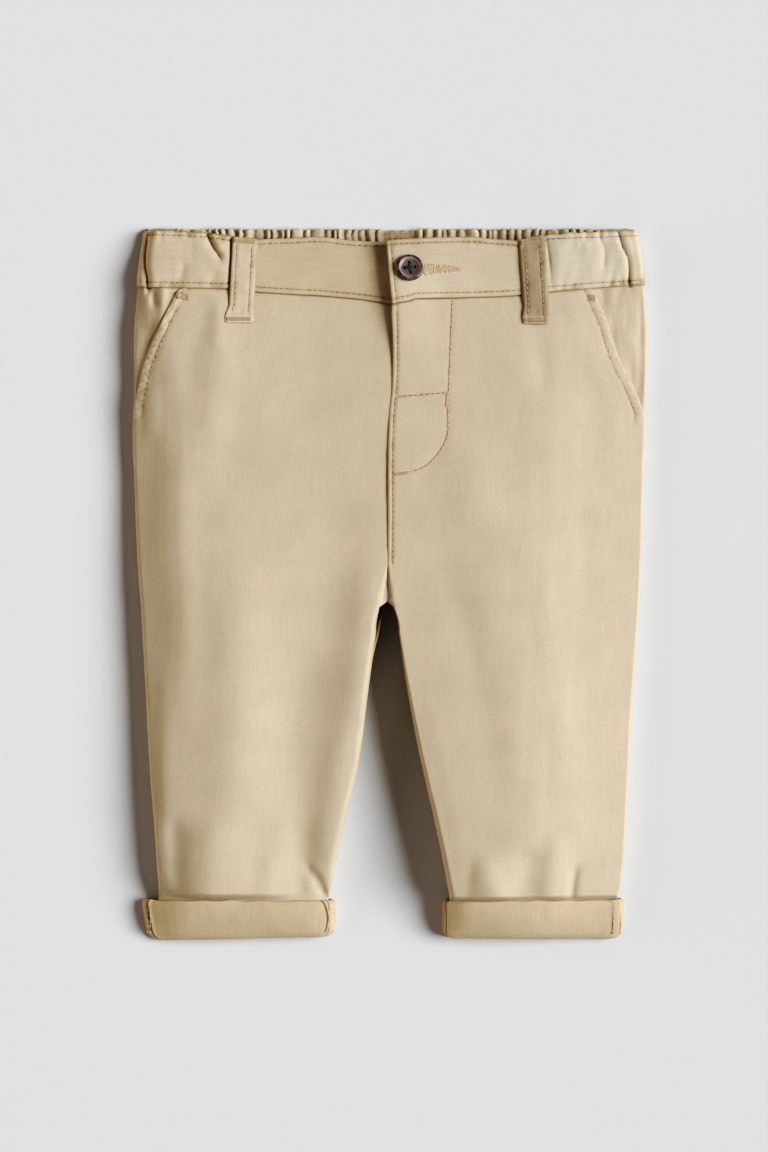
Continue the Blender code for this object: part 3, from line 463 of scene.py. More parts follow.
def body_height(side, face, x, drop):
    """Height of the outer surface of a front or back half over x and drop."""
    out, inn = side_x(side, drop), inner_x(side, face, drop)
    width = np.abs(inn - out)
    place = np.clip((out - x) * OUTWARD[side], 0, None)
    left_over = np.clip(width - place, 0, None)
    across = np.clip(place / width, 0, 1)
    seam_z = STATION["seam_z"](drop) * (1 - across) + STATION["seam_in"](drop) * across
    if face == "back":
        seam_z = seam_z - SEAM_GAP / 2
        fall = 1 - fades(drop, CROTCH_TOP, CROTCH)
        rise_in = 1 - fall + fall * rounded(left_over, UNDERCUT, UNDERCUT_SQUARENESS)
        return seam_z + (STATION["under_z"](drop) - seam_z) * rounded(place, BACK_ROUND) * rise_in
    seam_z = seam_z + SEAM_GAP / 2
    fall = 1 - fades(drop, CROTCH_PARTS, CROTCH_PARTED)
    rise_in = 1 - fall + fall * rounded(left_over, INNER_ROUND[side](drop))
    top = front_top(side, x, drop, place, left_over)
    height = seam_z + (top - seam_z) * rounded(place, ROUND_OUT[side]) * rise_in
    settled = 1 - fades(drop, LEG_SETTLES[side], LENGTH - CUFF_HEIGHT + 0.5)
    ceiling = cuff_face(side, x, np.clip(LENGTH - drop, 0, CUFF_HEIGHT)) - CUFF_WALL - 0.5
    return height * (1 - settled) + ceiling * settled


def cuff_wedge(up):
    """Share of its full height that a turn-up has that far up from its fold."""
    return CUFF_FOLD_SHARE + (1 - CUFF_FOLD_SHARE) * np.sin(QUARTER_TURN * np.clip(up / 16, 0, 1))


def cuff_heights(side, along, width, up):
    """Heights of a turn-up's side edge and of its upper face, that far along and up from its fold."""
    left_over = width - along
    side_z = CUFF_SIDE_Z + (CUFF_SEAM_Z - CUFF_SIDE_Z) * smooth(along / 40) * smooth((left_over + 12) / 40)
    top = CUFF_CROWN[side] - CUFF_FALL[side] * TOWARDS_SIDE[side](along)
    top = top - CUFF_INNER_FALL[side] * TOWARDS_SIDE["right"](left_over * 1.5)
    rise = rounded(along, CUFF_ROUND) * rounded(left_over, CUFF_ROUND)
    return side_z * cuff_wedge(up), (side_z + (top - side_z) * rise) * cuff_wedge(up)


def cuff_face(side, x, up):
    """Height of a turn-up's upper face over x, that far up from its fold."""
    out, inn = CUFF_EDGES[side]
    width = abs(inn - out)
    return cuff_heights(side, np.clip((out - x) * OUTWARD[side], 0, width), width, up)[1]


def body(side, face, x, drop):
    """Points and outward directions of a half's outer surface."""
    nudge = 0.03
    inward = x - OUTWARD[side] * nudge
    height = body_height(side, face, x, drop)
    beside = body_height(side, face, inward, drop)
    below = body_height(side, face, inward, drop + nudge)
    across = (height - beside) * OUTWARD[side] / nudge
    normal = unit(np.stack([-across, (below - beside) / nudge, np.ones_like(x)], -1))
    return np.stack([x, LENGTH / 2 - drop, height], -1), normal if face == "front" else -normal


def raised(points, normal, lift):
    return points + normal * lift[..., None]


# ---------------------------------------------------------------- small forms of sewn cloth

def dome(share):
    """How far a quarter circle has fallen from 1: all of it at share 0 and nothing from share 1 on."""
    return 1 - np.sqrt(1 - (1 - np.clip(share, 0, 1)) ** 2)


def lip(distance, reach=1.1, depth=0.45):
    """The rounded lip of an edge: how far the surface drops towards it."""
    return -depth * dome(distance / reach)


def groove(distance, reach=0.62, depth=0.32):
    """The line that a row of stitches pulls into the cloth."""
    return -depth * np.exp(-((distance / reach) ** 2))


def pucker(distance, along, reach, pitch, height, seed):
    """Small uneven ripples across a seam that fade out away from it."""
    ripple = noise(along / pitch, distance / (2.5 * pitch), seed)
    return height * ripple * np.exp(-np.clip(distance, 0, None) / reach)


def billow(x, drop, seed):
    """The soft unevenness of cloth that lies loose."""
    wide, middle = noise(x / 30, drop / 62, seed), noise(x / 12, drop / 34, seed + 1)
    return 0.28 * wide + 0.09 * middle + 0.022 * noise(x / 4.5, drop / 13, seed + 2)


# ---------------------------------------------------------------- where the panels' edges run

def mouth_x(side, drop):
    """Outer edge of a front panel: the pocket mouth, then the side seam."""
    out = np.abs(side_x(side, drop))
    return OUTWARD[side] * np.where(drop > POCKET_END, out, np.minimum(out, MOUTH[side](drop)))


def mouth_slant(side, drop):
    """How far that edge runs to the side for each millimetre down."""
    return (mouth_x(side, drop + 0.5) - mouth_x(side, drop)) / 0.5


def mouth_distance(side, x, drop):
    """Distance in from a front panel's outer edge, square to that edge."""
    return (mouth_x(side, drop) - x) * OUTWARD[side] / np.sqrt(1 + mouth_slant(side, drop) ** 2)


def waist_distance(x, drop):
    """Distance down from the waist seam."""
    return drop - BAND_SEAM(x) - SEAM_GAP / 2


def fly_x(side, drop):
    """Inner edge of a front panel above the crotch."""
    seam = STATION[side + "_in"](drop)
    edge = FLY(drop)
    if side == "right":
        edge = edge - SEAM_GAP + FLY_UNDERLAP * fades(drop, FLY_END, FLY_JOINED)
    return seam + (edge - seam) * fades(drop, FLY_JOINED, CROTCH_TOP)


def row_drop(nominal, seam):
    """A row's drop, with the first rows following the curve of the waist seam."""
    return nominal + (seam + SEAM_GAP / 2 - WAIST_SEAM) * fades(nominal, WAIST_SEAM, WAIST_SEAM + SEAM_EASE)


# ---------------------------------------------------------------- surfaces of the pieces

def lap_loft(x, drop):
    """How far the lapped edge of the fly stands up from the cloth under it, beyond its own thickness."""
    return LOFT(drop) * (1 - smooth((x - FLY(drop) - 1) / LAP_LOFT_REACH))


def underlap_swell(x, drop):
    """How far the cloth beside and under the lap swells up towards it."""
    return UNDERLAP_SHARE * LOFT(drop) * smooth((x - FLY(drop) + UNDERLAP_REACH) / UNDERLAP_REACH)


def front_plain(side, x, drop):
    """How far a front panel is raised where it lies on the hip piece or on the fly's underlap."""
    over_hip = 1 - smooth((np.abs(x - mouth_x(side, drop)) - HIP_UNDERLAP - 1) / 10)
    lift = FRONT_RISE * over_hip * (1 - smooth((drop - HIP_END - 1) / 18))
    if side == "right":
        return lift + underlap_swell(x, drop)
    over_fly = 1 - smooth((x - FLY(drop) - FLY_UNDERLAP - 2) / LAP_EASE)
    return lift + FLY_STEP * over_fly * fades(drop, FLY_JOINED, CROTCH_TOP) + lap_loft(x, drop)


def front_detail(side, x, drop):
    """Lips, stitch lines and puckers of a front panel, and the roped hem of its pocket mouth."""
    mouth = mouth_distance(side, x, drop)
    waist = waist_distance(x, drop)
    inner = np.abs(x - fly_x(side, drop))
    in_pocket = 1 - smooth((drop - POCKET_END + 4) / 8)
    height = lip(waist, 1.2, 0.5) + pucker(waist, x, 5, 3.4, 0.16, 21)
    height = height + in_pocket * (lip(mouth) + groove(mouth - MOUTH_STITCH_IN))
    seed = 31 if side == "right" else 37
    rope = np.sin(TAU * (drop / ROPE_PITCH + 0.3 * mouth + 0.6 * noise(drop / 5, 0, seed)))
    rope = 0.55 * rope * (0.6 + 0.4 * noise(drop / 7, 0, seed + 2))
    rope = rope + 0.6 * noise(drop / 1.5, mouth / 2.4, seed)
    in_hem = np.sin(math.pi * np.clip(mouth / MOUTH_STITCH_IN, 0, 1))
    height = height + in_pocket * (0.25 + ROPE_HEIGHT[side] * rope) * in_hem
    height = height + in_pocket * pucker(np.abs(mouth - MOUTH_STITCH_IN), drop, 2.2, 2.1, 0.14, 41)
    if side == "left":
        fly = 1 - smooth((drop - FLY_JOINED - 4) / 14)
        height = height + fly * (lip(inner) + groove(inner - FLY_STITCH_IN))
        height = height + fly * pucker(np.abs(inner - 1.2), drop, 1.6, 2.4, 0.16, 43)
        for line in (FLY_STITCH, FLY_CROSS_STITCH):
            away = np.sqrt(to_path(smooth_path(line), x, drop)[0])
            height = height + groove(away, 0.9, 0.2) + pucker(away, x + drop, 2.4, 2.4, 0.1, 47)
    return height


def front_loose(side, x, drop):
    """The looseness of a front panel, away from its held edges."""
    fly = np.maximum(np.abs(x - FLY(drop)) - 2, drop - FLY_JOINED)
    loose = billow(x, drop, 3 if side == "right" else 11) * smooth(mouth_distance(side, x, drop) / 14)
    return loose * smooth(waist_distance(x, drop) / 12) * smooth(fly / 18)


def band_plain(side, x, drop):
    """How far a front band is raised, and the left one more where it lies on the end of the right one."""
    if side == "right":
        return BAND_PROUD + underlap_swell(x, drop)
    over = 1 - smooth((x - FLY(0) - BAND_UNDERLAP - 2) / LAP_EASE)
    return BAND_PROUD + (BAND_WALL + LAP_GAP) * over + lap_loft(x, drop)


def band_end(down):
    """x of the left band's end, from its top corner (0) to its lower corner (1)."""
    return BAND_END_TOP + BAND_END_SLANT * down


def on_elastic(x):
    """1 where the front band covers the elastic's ends."""
    return smooth((np.abs(x) - BAND_ELASTIC) / 8)


def band_detail(side, x, drop):
    """Lips, topstitching and puckers of a front band."""
    top = drop - BAND_TOP(x)
    seam = BAND_SEAM(x) - SEAM_GAP / 2 - drop
    from_top, from_seam = top - BAND_STITCH_IN, seam - BAND_STITCH_IN
    height = lip(top, 1.3, 0.5) + lip(seam, 1, 0.35) + groove(from_top) + groove(from_seam)
    height = height + pucker(np.abs(from_top), x, 2, 2.3, 0.16, 51)
    height = height + pucker(np.abs(from_seam), x, 2, 2.3, 0.14, 53)
    elastic = on_elastic(x)
    height = height + elastic * (0.3 * noise(x / 8, drop / 13, 55) + 0.14 * noise(x / 3.5, drop / 9, 56))
    height = height + elastic * pucker(from_seam, x, 3.4, 2.6, 0.42, 58)
    height = height + elastic * pucker(from_top, x, 2.4, 2.1, 0.6, 59)
    height = height + (0.15 + 0.75 * elastic) * np.sin(math.pi * np.clip(top / (top + seam), 0, 1)) ** 0.7
    height = height + 0.2 * noise(x / 22, drop / 14, 57)
    if side == "left":
        end = x - band_end(top / (top + seam))
        height = height + lip(end) + groove(end - BAND_STITCH_IN) * (seam > 1) * (top > 1)
    return height


def hip_plain(side, x, drop):
    """A hip piece sinks a little under the pocket mouth."""
    return -HIP_SINK * smooth(((mouth_x(side, drop) - x) * OUTWARD[side] + 9) / 8)


def hip_detail(side, x, drop):
    seed = 61 if side == "right" else 67
    uneven = 0.5 * noise(x / 4.5, drop / 26, seed) + 0.15 * noise(x / 2.2, drop / 9, seed + 1)
    return lip(waist_distance(x, drop), 1, 0.4) + uneven


def loop_length(loop):
    return loop.end_drop - loop.top_drop


def loop_place(loop, share, offset):
    """x and drop on a belt loop, share down its length and offset across it."""
    corner = LOOP_CORNER * dome(np.minimum(share, 1 - share) * loop_length(loop) / LOOP_CORNER)
    flare = loop.flare * smooth((share - 0.78) / 0.14) * (0.5 - offset)
    x = loop.top_x + (loop.end_x - loop.top_x) * share + offset * (LOOP_WIDTH - corner) - flare
    return x, loop.top_drop + loop_length(loop) * share + loop.top_skew * offset * (1 - share)


def loop_base(loop, share, offset):
    """Points on the body below a belt loop, which bridges small folds, and upward directions."""
    x, drop = loop_place(loop, share, offset)
    middle, _ = loop_place(loop, share, 0 * offset)
    points, _ = body(loop.side, "front", middle + 0.6 * (x - middle), drop)
    points[..., 0] = x
    return points, np.zeros_like(points) + (0, 0, 1)


def loop_plain(loop, share, offset):
    """How far a belt loop stands off the body: it bows out between its tacks, and may lean over."""
    x, drop = loop_place(loop, share, offset)
    on_band = 1 - smooth((drop - BAND_SEAM(x)) / 5)
    lift = BAND_PROUD * on_band + LOOP_CLEARANCE + LOOP_WALL + LOOP_ARCH * np.sin(math.pi * share)
    seated = smooth(np.minimum(share, 1 - share) * loop_length(loop) / 7)
    return lift + loop.tilt * (offset + 0.5) * (0.2 + 0.8 * seated)


def loop_detail(loop, share, offset):
    """Lips, stitch lines, turned end and wear of a belt loop."""
    edge = (0.5 - np.abs(offset)) * LOOP_WIDTH
    length = loop_length(loop)
    ends = np.minimum(share, 1 - share) * length
    height = lip(edge, 1.5, 0.6) + groove(edge - 2.4, 0.6, 0.2)
    height = height + pucker(np.abs(edge - 2.4), share * length, 2, 2.2, 0.12, 71)
    turned = 0.45 * smooth((LOOP_TURNED_END - (1 - share) * length) / 0.8 + 0.5)
    worn_in = 0.16 * noise(share * 9, offset * 3, 73) + 0.08 * noise(share * 22, offset * 6, 74)
    return height + groove(ends - 1.8, 1, 0.25) + lip(ends, 1.2, 0.5) + turned + worn_in


def surface_of(place, step_a, step_b):
    """A surface that gives points and outward directions, the latter from two small steps along it."""
    def surface(a, b):
        a, b = np.array(a, float), np.array(b, float)
        points = place(a, b)
        normal = np.cross(place(a, b + step_b) - points, place(a + step_a, b) - points)
        return points, unit(normal)
    return surface


def on_front(side, *lifts):
    """The surface over (x, drop) of a piece of the front that is raised by all of these."""
    def place(x, drop):
        return raised(*body(side, "front", x, drop), sum(lift(side, x, drop) for lift in lifts))
    return surface_of(place, 0.3, 0.3)


def loop_surface(loop):
    """The strap's surface over (share of its width, distance down it in millimetres)."""
    def place(offset, down):
        share = down / LOOP_LENGTH
        lift = loop_plain(loop, share, offset) + loop_detail(loop, share, offset)
        return raised(*loop_base(loop, share, offset), lift)
    return surface_of(place, 0.02, 0.01 * LOOP_LENGTH)


FRONT_SURFACE = {side: on_front(side, front_plain, front_loose, front_detail) for side in SIDES}
BAND_SURFACE = {side: on_front(side, band_plain, band_detail) for side in SIDES}


# ---------------------------------------------------------------- making meshes

def put_in_scene(name, data):
    result = bpy.data.objects.new(name, data)
    bpy.context.scene.collection.objects.link(result)
    return result


def new_object(name, points, faces, material, values):
    """A smooth mesh object from points in millimetres, with {attribute name: values at the points}."""
    mesh = bpy.data.meshes.new(name)
    mesh.from_pydata((points * MM).tolist(), [], faces.tolist())
    for key, value in values.items():
        attribute = mesh.attributes.new(key, "FLOAT_VECTOR" if value.ndim == 2 else "FLOAT", "POINT")
        attribute.data.foreach_set("vector" if value.ndim == 2 else "value", value.astype(np.float32).ravel())
    mesh.shade_smooth()
    mesh.materials.append(material)
    return put_in_scene(name, mesh)


def grid_faces(index):
    """Faces between the neighbouring points of a grid of point numbers."""
    return np.stack([index[:-1, :-1], index[:-1, 1:], index[1:, 1:], index[1:, :-1]], -1).reshape(-1, 4)


def border(rows, columns):
    """Row and column of each point round the border of a grid."""
    last_row, last_column = rows - 1, columns - 1
    down = [[0] * last_column, range(last_row), [last_row] * last_column, range(last_row, 0, -1)]
    over = [range(last_column), [last_column] * last_row, range(last_column, 0, -1), [0] * last_row]
    return np.concatenate(down), np.concatenate(over)


def cloth_wall(name, outer, inner, weave, rubbed, material, rim_steps=3, bulge=0.18):
    """A closed wall of cloth between two grids of points, with a rounded rim.

    weave holds each point's place in the flat cloth, and the next argument its tint: pale from wear above 0,
    dark with painted shade in seams, lips and hollows below 0.
    """
    rows, columns = outer.shape[:2]
    count = rows * columns
    index = np.arange(count).reshape(rows, columns)
    down, over = border(rows, columns)
    half = (outer[down, over] - inner[down, over]) / 2
    outward = outer[down, over] - outer[np.clip(down, 1, rows - 2), np.clip(over, 1, columns - 2)]
    outward = outward - half * (np.sum(outward * half, -1) / np.sum(half * half, -1))[:, None]
    outward /= np.linalg.norm(outward, axis=-1, keepdims=True) + 1e-9
    middle = inner[down, over] + half
    edge = index[down, over]
    rings, rim_points = [edge], []
    for step in range(1, rim_steps + 1):
        angle = math.pi * step / (rim_steps + 1)
        rim_points.append(middle + half * math.cos(angle) + outward * bulge * math.sin(angle))
        rings.append(2 * count + (step - 1) * len(edge) + np.arange(len(edge)))
    rings.append(edge + count)
    faces = [grid_faces(index), grid_faces(index + count)[:, ::-1]]
    for ring, following in zip(rings, rings[1:]):
        faces.append(np.stack([np.roll(ring, -1), ring, following, np.roll(following, -1)], -1))
    faces = np.vstack(faces)
    points = np.vstack([outer.reshape(-1, 3), inner.reshape(-1, 3), *rim_points])
    a, b, c = (points[faces[(rows - 1) * (columns - 1) // 2, k]] for k in range(3))
    centre = (rows // 2, columns // 2)
    if np.cross(b - a, c - b) @ (outer[centre] - inner[centre]) < 0:
        faces = faces[:, ::-1]
    flat = np.vstack([weave.reshape(-1, 2)] * 2 + [weave[down, over]] * rim_steps)
    # Each point's tint of pale wear and painted shade; the rounded rims get none of the pale wear
    wear_and_shade_values = [rubbed.ravel()] * 2 + [np.minimum(rubbed[down, over], -0.1)] * rim_steps
    values = {"weave": np.column_stack([flat, np.zeros(len(flat))]) * MM, "rubbed": np.concatenate(wear_and_shade_values)}
    return new_object(name, points, faces, material, values)


def flat_places(points):
    """Each grid point's place in the flat cloth: how far along its row and down its column it lies."""
    across = np.cumsum(np.linalg.norm(np.diff(points, axis=1, prepend=points[:, :1]), axis=-1), 1)
    down = np.cumsum(np.linalg.norm(np.diff(points, axis=0, prepend=points[:1]), axis=-1), 0)
    middle = points.shape[1] // 2
    centre = across[:, middle][:, None]
    return np.stack([across - centre + centre.mean(), down[:, middle][:, None] + 0 * down], -1)


def declare_sheet(piece, node):
    """Attaches a cloth piece to the root body and hides the solid it stands for."""
    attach(piece, "root")
    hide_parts(node)


def make_sheet(name, grid, lifts, rubbed, material, sideways=False):
    """A wall of cloth between two heights above a grid of (points, directions)."""
    outer, inner = (raised(*grid, lift) for lift in lifts)
    weave = flat_places(outer)
    return cloth_wall(name, outer, inner, weave[..., ::-1] if sideways else weave, rubbed, material)


def spaced(start, end, first, last, middle):
    """Places across each row: set distances in from both edges and an even spread between them."""
    sign = np.sign(end - start)
    left = start + sign * first
    right = end - sign * last[..., ::-1]
    share = np.linspace(0, 1, middle + 2)[1:-1]
    return np.concatenate([left, left[:, -1:] * (1 - share) + right[:, :1] * share, right], 1)


def eased(reach, count):
    """Distances from 0 to reach, close together near 0."""
    return reach * (1 - np.cos(QUARTER_TURN * np.arange(count) / (count - 1)))


def eased_ends(reach, count, middle):
    """Shares from 0 to 1, closer together near both ends."""
    near = eased(reach, count)
    return np.concatenate([near[:-1], np.linspace(reach, 1 - reach, middle), 1 - near[::-1][1:]])


def wear_and_hollow_shade(detail, strength=1):
    """Tint of small relief: pale from wear on its ridges, and dark with painted shade in its hollows."""
    return np.clip(detail / 0.4, -1.2, 1) * strength


# ---------------------------------------------------------------- cloth pieces

def make_front(side, material):
    rows = [np.arange(WAIST_SEAM, 98, 0.62), np.arange(98, 317, 1.32), np.arange(317, 326, 0.45)]
    nominal = np.concatenate([*rows, np.arange(326, LEG_END - 0.4, 1.6), [LEG_END]])[:, None]
    start = mouth_x(side, nominal)
    for _ in range(4):
        start = mouth_x(side, row_drop(nominal, BAND_SEAM(start)))
    fall = 1 - fades(nominal, FLY_JOINED, CROTCH_TOP + 6)
    last = fall * INNER_ROUND[side](nominal) * eased(1, 14) + (1 - fall) * np.linspace(0, 7.5, 14)
    x = spaced(start, fly_x(side, nominal), eased(2, 12), last, 88)
    drop = row_drop(nominal, BAND_SEAM(x))
    plain, detail = front_plain(side, x, drop) + front_loose(side, x, drop), front_detail(side, x, drop)
    lifts = (plain + detail, plain - CLOTH)
    piece = make_sheet(f"front_panel_{side}", body(side, "front", x, drop), lifts, wear_and_hollow_shade(detail), material)
    declare_sheet(piece, "front_" + side)


def make_hip(side, material):
    share = np.linspace(0, 1, 44) ** 1.7
    nominal = np.linspace(WAIST_SEAM, HIP_END, 100)[:, None]
    out = side_x(side, nominal)
    x = out + (mouth_x(side, nominal) - OUTWARD[side] * HIP_UNDERLAP - out) * share
    drop = row_drop(nominal, BAND_SEAM(x))
    x = x + (side_x(side, drop) - out) * (1 - share)
    plain, detail = hip_plain(side, x, drop), hip_detail(side, x, drop)
    lifts = (plain + detail * smooth(np.abs(x - out) / 3), plain - CLOTH)
    piece = make_sheet(f"hip_piece_{side}", body(side, "front", x, drop), lifts, wear_and_hollow_shade(detail, 0.5), material)
    declare_sheet(piece, "hip_" + side)


def make_back(side, material):
    nominal = np.concatenate([np.arange(WAIST_SEAM, LEG_END - 0.5, 2), [LEG_END]])[:, None]
    out = side_x(side, nominal)
    x = spaced(out, inner_x(side, "back", nominal), eased(BACK_ROUND, 12), eased(UNDERCUT, 12), 44)
    drop = row_drop(nominal, BACK_SEAM + 0 * x)
    x = x + (side_x(side, drop) - out) * (1 - smooth(np.abs(x - out) / 20))
    gathers = gather_wave(x) * np.exp(-np.clip(drop - BACK_SEAM, 0, None) / 18)
    lifts = (-0.45 * gathers, -CLOTH - 0.6 * gathers - 0.3 * (1 + billow(x, drop, 83)))
    piece = make_sheet(f"back_panel_{side}", body(side, "back", x, drop), lifts, np.zeros_like(x), material)
    declare_sheet(piece, "back_" + side)


def make_front_band(side, material):
    down = eased_ends(0.14, 9, 22)[:, None]
    out = side_x(side, BAND_TOP(0) + down * (BAND_SEAM(0) - BAND_TOP(0)))
    end = band_end(down) if side == "left" else FLY(0) + BAND_UNDERLAP + 0 * down
    x = spaced(out, end, eased(4, 12), eased(4, 8), 144)
    top = BAND_TOP(x)
    drop = top + down * (BAND_SEAM(x) - SEAM_GAP / 2 - top)
    drop = drop + on_elastic(x) * BAND_FRILL * noise(x / 2, 0, 60) * (1 - smooth((drop - top) / 3))
    plain = band_plain(side, x, drop)
    detail = band_detail(side, x, drop) * smooth(np.abs(x - out) / 2)
    lifts = (plain + detail, plain - BAND_WALL)
    grid = body(side, "front", x, drop)
    piece = make_sheet(f"front_waistband_{side}", grid, lifts, wear_and_hollow_shade(detail), material, True)
    declare_sheet(piece, "waistband_front_" + side)


def gather_wave(x):
    """Height of the elastic band's gathers at x, from 0 to 1; the joined centre and the sides are plain."""
    phase = x / GATHER_PITCH + 0.5 * noise(x / 11, 0, 91) + 0.34 * noise(x / 4.7, 0, 92)
    size = 0.72 + 0.42 * noise(phase, 0, 93)
    plain_centre = smooth((np.abs(x - FLAT_CENTRE_X) - FLAT_CENTRE) / 4)
    plain_side = fades(np.abs(x), GATHER_SPAN - 8, GATHER_SPAN)
    return np.abs(np.sin(math.pi * phase)) ** 0.75 * size * plain_centre * plain_side


def make_back_band(material):
    drop = BACK_TOP + eased_ends(0.14, 9, 22)[:, None] * (BACK_SEAM - SEAM_GAP / 2 - BACK_TOP)
    halves = []
    for side in SIDES:
        x = spaced(side_x(side, drop), 0 * drop, eased(9, 12), np.linspace(0, 2, 3), 190)
        at = drop + 0 * x
        points, normal = body(side, "back", x, at)
        wave = gather_wave(x + 0.5 * noise(at / 3.2, x / 6, 94))
        edge = at - BACK_TOP
        rim = lip(edge, 1.6, 0.7) + groove(edge - 3, 0.8, 0.5 * wave)
        crumple = noise(x / 1.6, at / 2.6, 95)
        frill = 0.9 * (0.75 - wave) * smooth((GATHER_SPAN - np.abs(x)) / 8) + 0.35 * noise(x / 1.4, 0, 96)
        points[..., 1] -= frill * (1 - smooth(edge / 3.5))
        outer = raised(points, normal, -GATHER_DEPTH * wave)
        inner = raised(points, normal, -ELASTIC_WALL - GATHER_RISE * wave - rim - 0.25 * crumple)
        # Painted shade, dark and warm, in the gaps between the gathers, with a little pale wear on their
        # ridges
        detail = (wave - 0.8) * 0.6 + 0.2 * crumple - 0.06
        order = slice(None) if side == "right" else slice(-2, None, -1)
        halves.append([grid[:, order] for grid in (outer, inner, detail)])
    outer, inner, detail = (np.concatenate(pair, 1) for pair in zip(*halves))
    weave = flat_places(outer)[..., ::-1]
    piece = cloth_wall("back_waistband", outer, inner, weave, wear_and_hollow_shade(detail, 0.7), material)
    declare_sheet(piece, "waistband_back")


def cuff_profile():
    """The turn-up's cut along the leg, as (depth in from its outer face, height above the fold)."""
    corners = (
        (0, CUFF_HEIGHT - 0.9), (0, 2.6), (0.8, 0.9), (2, 0.15), (CUFF_RETURN / 2, 0),
        (CUFF_RETURN - 1.6, 0.5), (CUFF_RETURN, 2.4), (CUFF_RETURN, CUFF_RETURN_HEIGHT),
        (CUFF_CHANNEL, CUFF_RETURN_HEIGHT), (CUFF_CHANNEL, CUFF_WALL), (CUFF_WALL, CUFF_WALL),
        (CUFF_WALL, CUFF_HEIGHT - 0.7), (1.1, CUFF_HEIGHT - 0.2), (0.7, CUFF_HEIGHT), (0.3, CUFF_HEIGHT - 0.2),
    )
    cut = []
    for corner, following in zip(corners, corners[1:] + corners[:1]):
        pieces = max(1, round(math.dist(corner, following) / 0.8))
        cut.append(np.linspace(corner, following, pieces, endpoint=False))
    return np.vstack(cut).T


def cuff_detail(side, at, up, outside):
    """Seams of a turn-up, for its tint of painted shade in the slit and at the turned-back edge and of pale
    wear on that edge, then those seams with its looseness and the step beyond its slit, for its shape.
    """
    seams, out = CUFF_SEAMS[side], CUFF_EDGES[side][0]
    slit_at = abs(seams.slit_x - out) + seams.slit_lean * np.sin(math.pi * up / CUFF_HEIGHT)
    detail = -1.5 * np.exp(-(((at - slit_at) / 0.42) ** 2)) * smooth((up - 1) / 3)
    strip = np.abs(at - abs(seams.outseam_x - out)) - seams.outseam_width / 2
    detail = detail + 0.35 * (1 - smooth((strip + 0.3) / 0.7))
    if side == "right":
        detail = detail - 0.75 * np.exp(-((strip / 0.3) ** 2))
    loose = 0.3 * noise(at / 12, up / 9, 101) + 0.12 * noise(at / 5, up / 5, 102)
    step = 0.55 * smooth((at - slit_at) / 1.2)
    return detail * outside, detail * outside + (loose * smooth(up / 6) - step) * outside


def there_and_back(first, second):
    """Values round a flat tube: those of its upper half, then back along its lower half."""
    return np.concatenate([first, second[::-1][1:-1]])


def make_cuff(side, material):
    """A turn-up: its cut carried all the way round the end of the leg."""
    out, inn = CUFF_EDGES[side]
    width = abs(inn - out)
    across = eased(CUFF_ROUND, 18)
    middle_part = np.linspace(CUFF_ROUND, width - CUFF_ROUND, 110)
    along = np.concatenate([across[:-1], middle_part, (width - across)[::-1][1:]])
    fine = abs(CUFF_SEAMS[side].slit_x - out) + np.linspace(-3.6, 3.6, 33)
    along = np.unique(np.round(np.concatenate([along, fine[fine < width - 0.05]]), 4))
    middle, front_z = cuff_heights(side, along, width, CUFF_HEIGHT)
    back_z = middle * (1 - rounded(along, CUFF_ROUND) * rounded(width - along, CUFF_ROUND))
    thick = np.minimum(*(np.interp(along + shift, along, front_z - back_z) for shift in (6, -6)))
    slack = np.clip((thick / 2 - 0.5) / CUFF_RETURN, 0.3, 1)
    round_x, round_z = there_and_back(along, along), there_and_back(front_z, back_z)
    step_x, step_z = (np.roll(values, -1) - np.roll(values, 1) for values in (round_x, round_z))
    length = np.hypot(step_x, step_z)
    depth, up = (values[None, :] for values in cuff_profile())
    at = round_x[:, None]
    upper = there_and_back(along**0, 0 * along)[:, None]
    seam_wear_and_shade, detail = cuff_detail(side, at, up, smooth((2.2 - depth) / 1.6) * upper)
    lift = detail + 0.5 * noise(at / 26, 0, 103) * upper - depth * there_and_back(slack, slack)[:, None]
    x = at - (step_z / length)[:, None] * lift
    z = (round_z[:, None] + (step_x / length)[:, None] * lift) * cuff_wedge(up)
    corner = 4.2 * dome(up / 5) + 1.8 * dome((CUFF_HEIGHT - up) / 2.6)
    x = width / 2 + (x - width / 2) * (1 - corner / (width / 2))
    x = x + CUFF_NARROWED[side] * (1 - up / CUFF_HEIGHT) ** 1.3 * (1 - at / width)
    rim = 0.35 * noise(at / 7, 0, 104) * smooth((up - CUFF_HEIGHT + 4) / 4)
    fold = np.abs(0.25 * noise(at / 15, 0, 105) * (1 - smooth(up / 5)))
    first, last = CUFF_FOLD_RISE[side]
    y = -LENGTH / 2 + up + rim + fold + (first + (last - first) * at / width) * (1 - up / CUFF_HEIGHT)
    points = np.stack([out - OUTWARD[side] * x, y, np.maximum(z, 0)], -1)
    count, ring = points.shape[:2]
    points = points.reshape(-1, 3)
    faces = grid_faces(np.pad(np.arange(count * ring).reshape(count, ring), ((0, 1), (0, 1)), "wrap"))
    a, b, c = points[faces[len(along) // 2 * ring][:3]]
    if np.cross(b - a, c - a) @ (a - points.mean(0)) < 0:
        faces = faces[:, ::-1]
    weave = np.stack([at + 0 * up, up + 40 + 0 * at, 0 * (at + up)], -1).reshape(-1, 3) * MM
    # Painted shade in the slit and, on the right, along the edges of the turned-back seam; pale wear on that
    # seam's strip
    values = {"weave": weave, "rubbed": np.clip(seam_wear_and_shade / 0.6, -1.2, 0.6).ravel()}
    piece = new_object(f"turn_up_{side}", points, faces, material, values)
    declare_sheet(piece, "cuff_" + side)


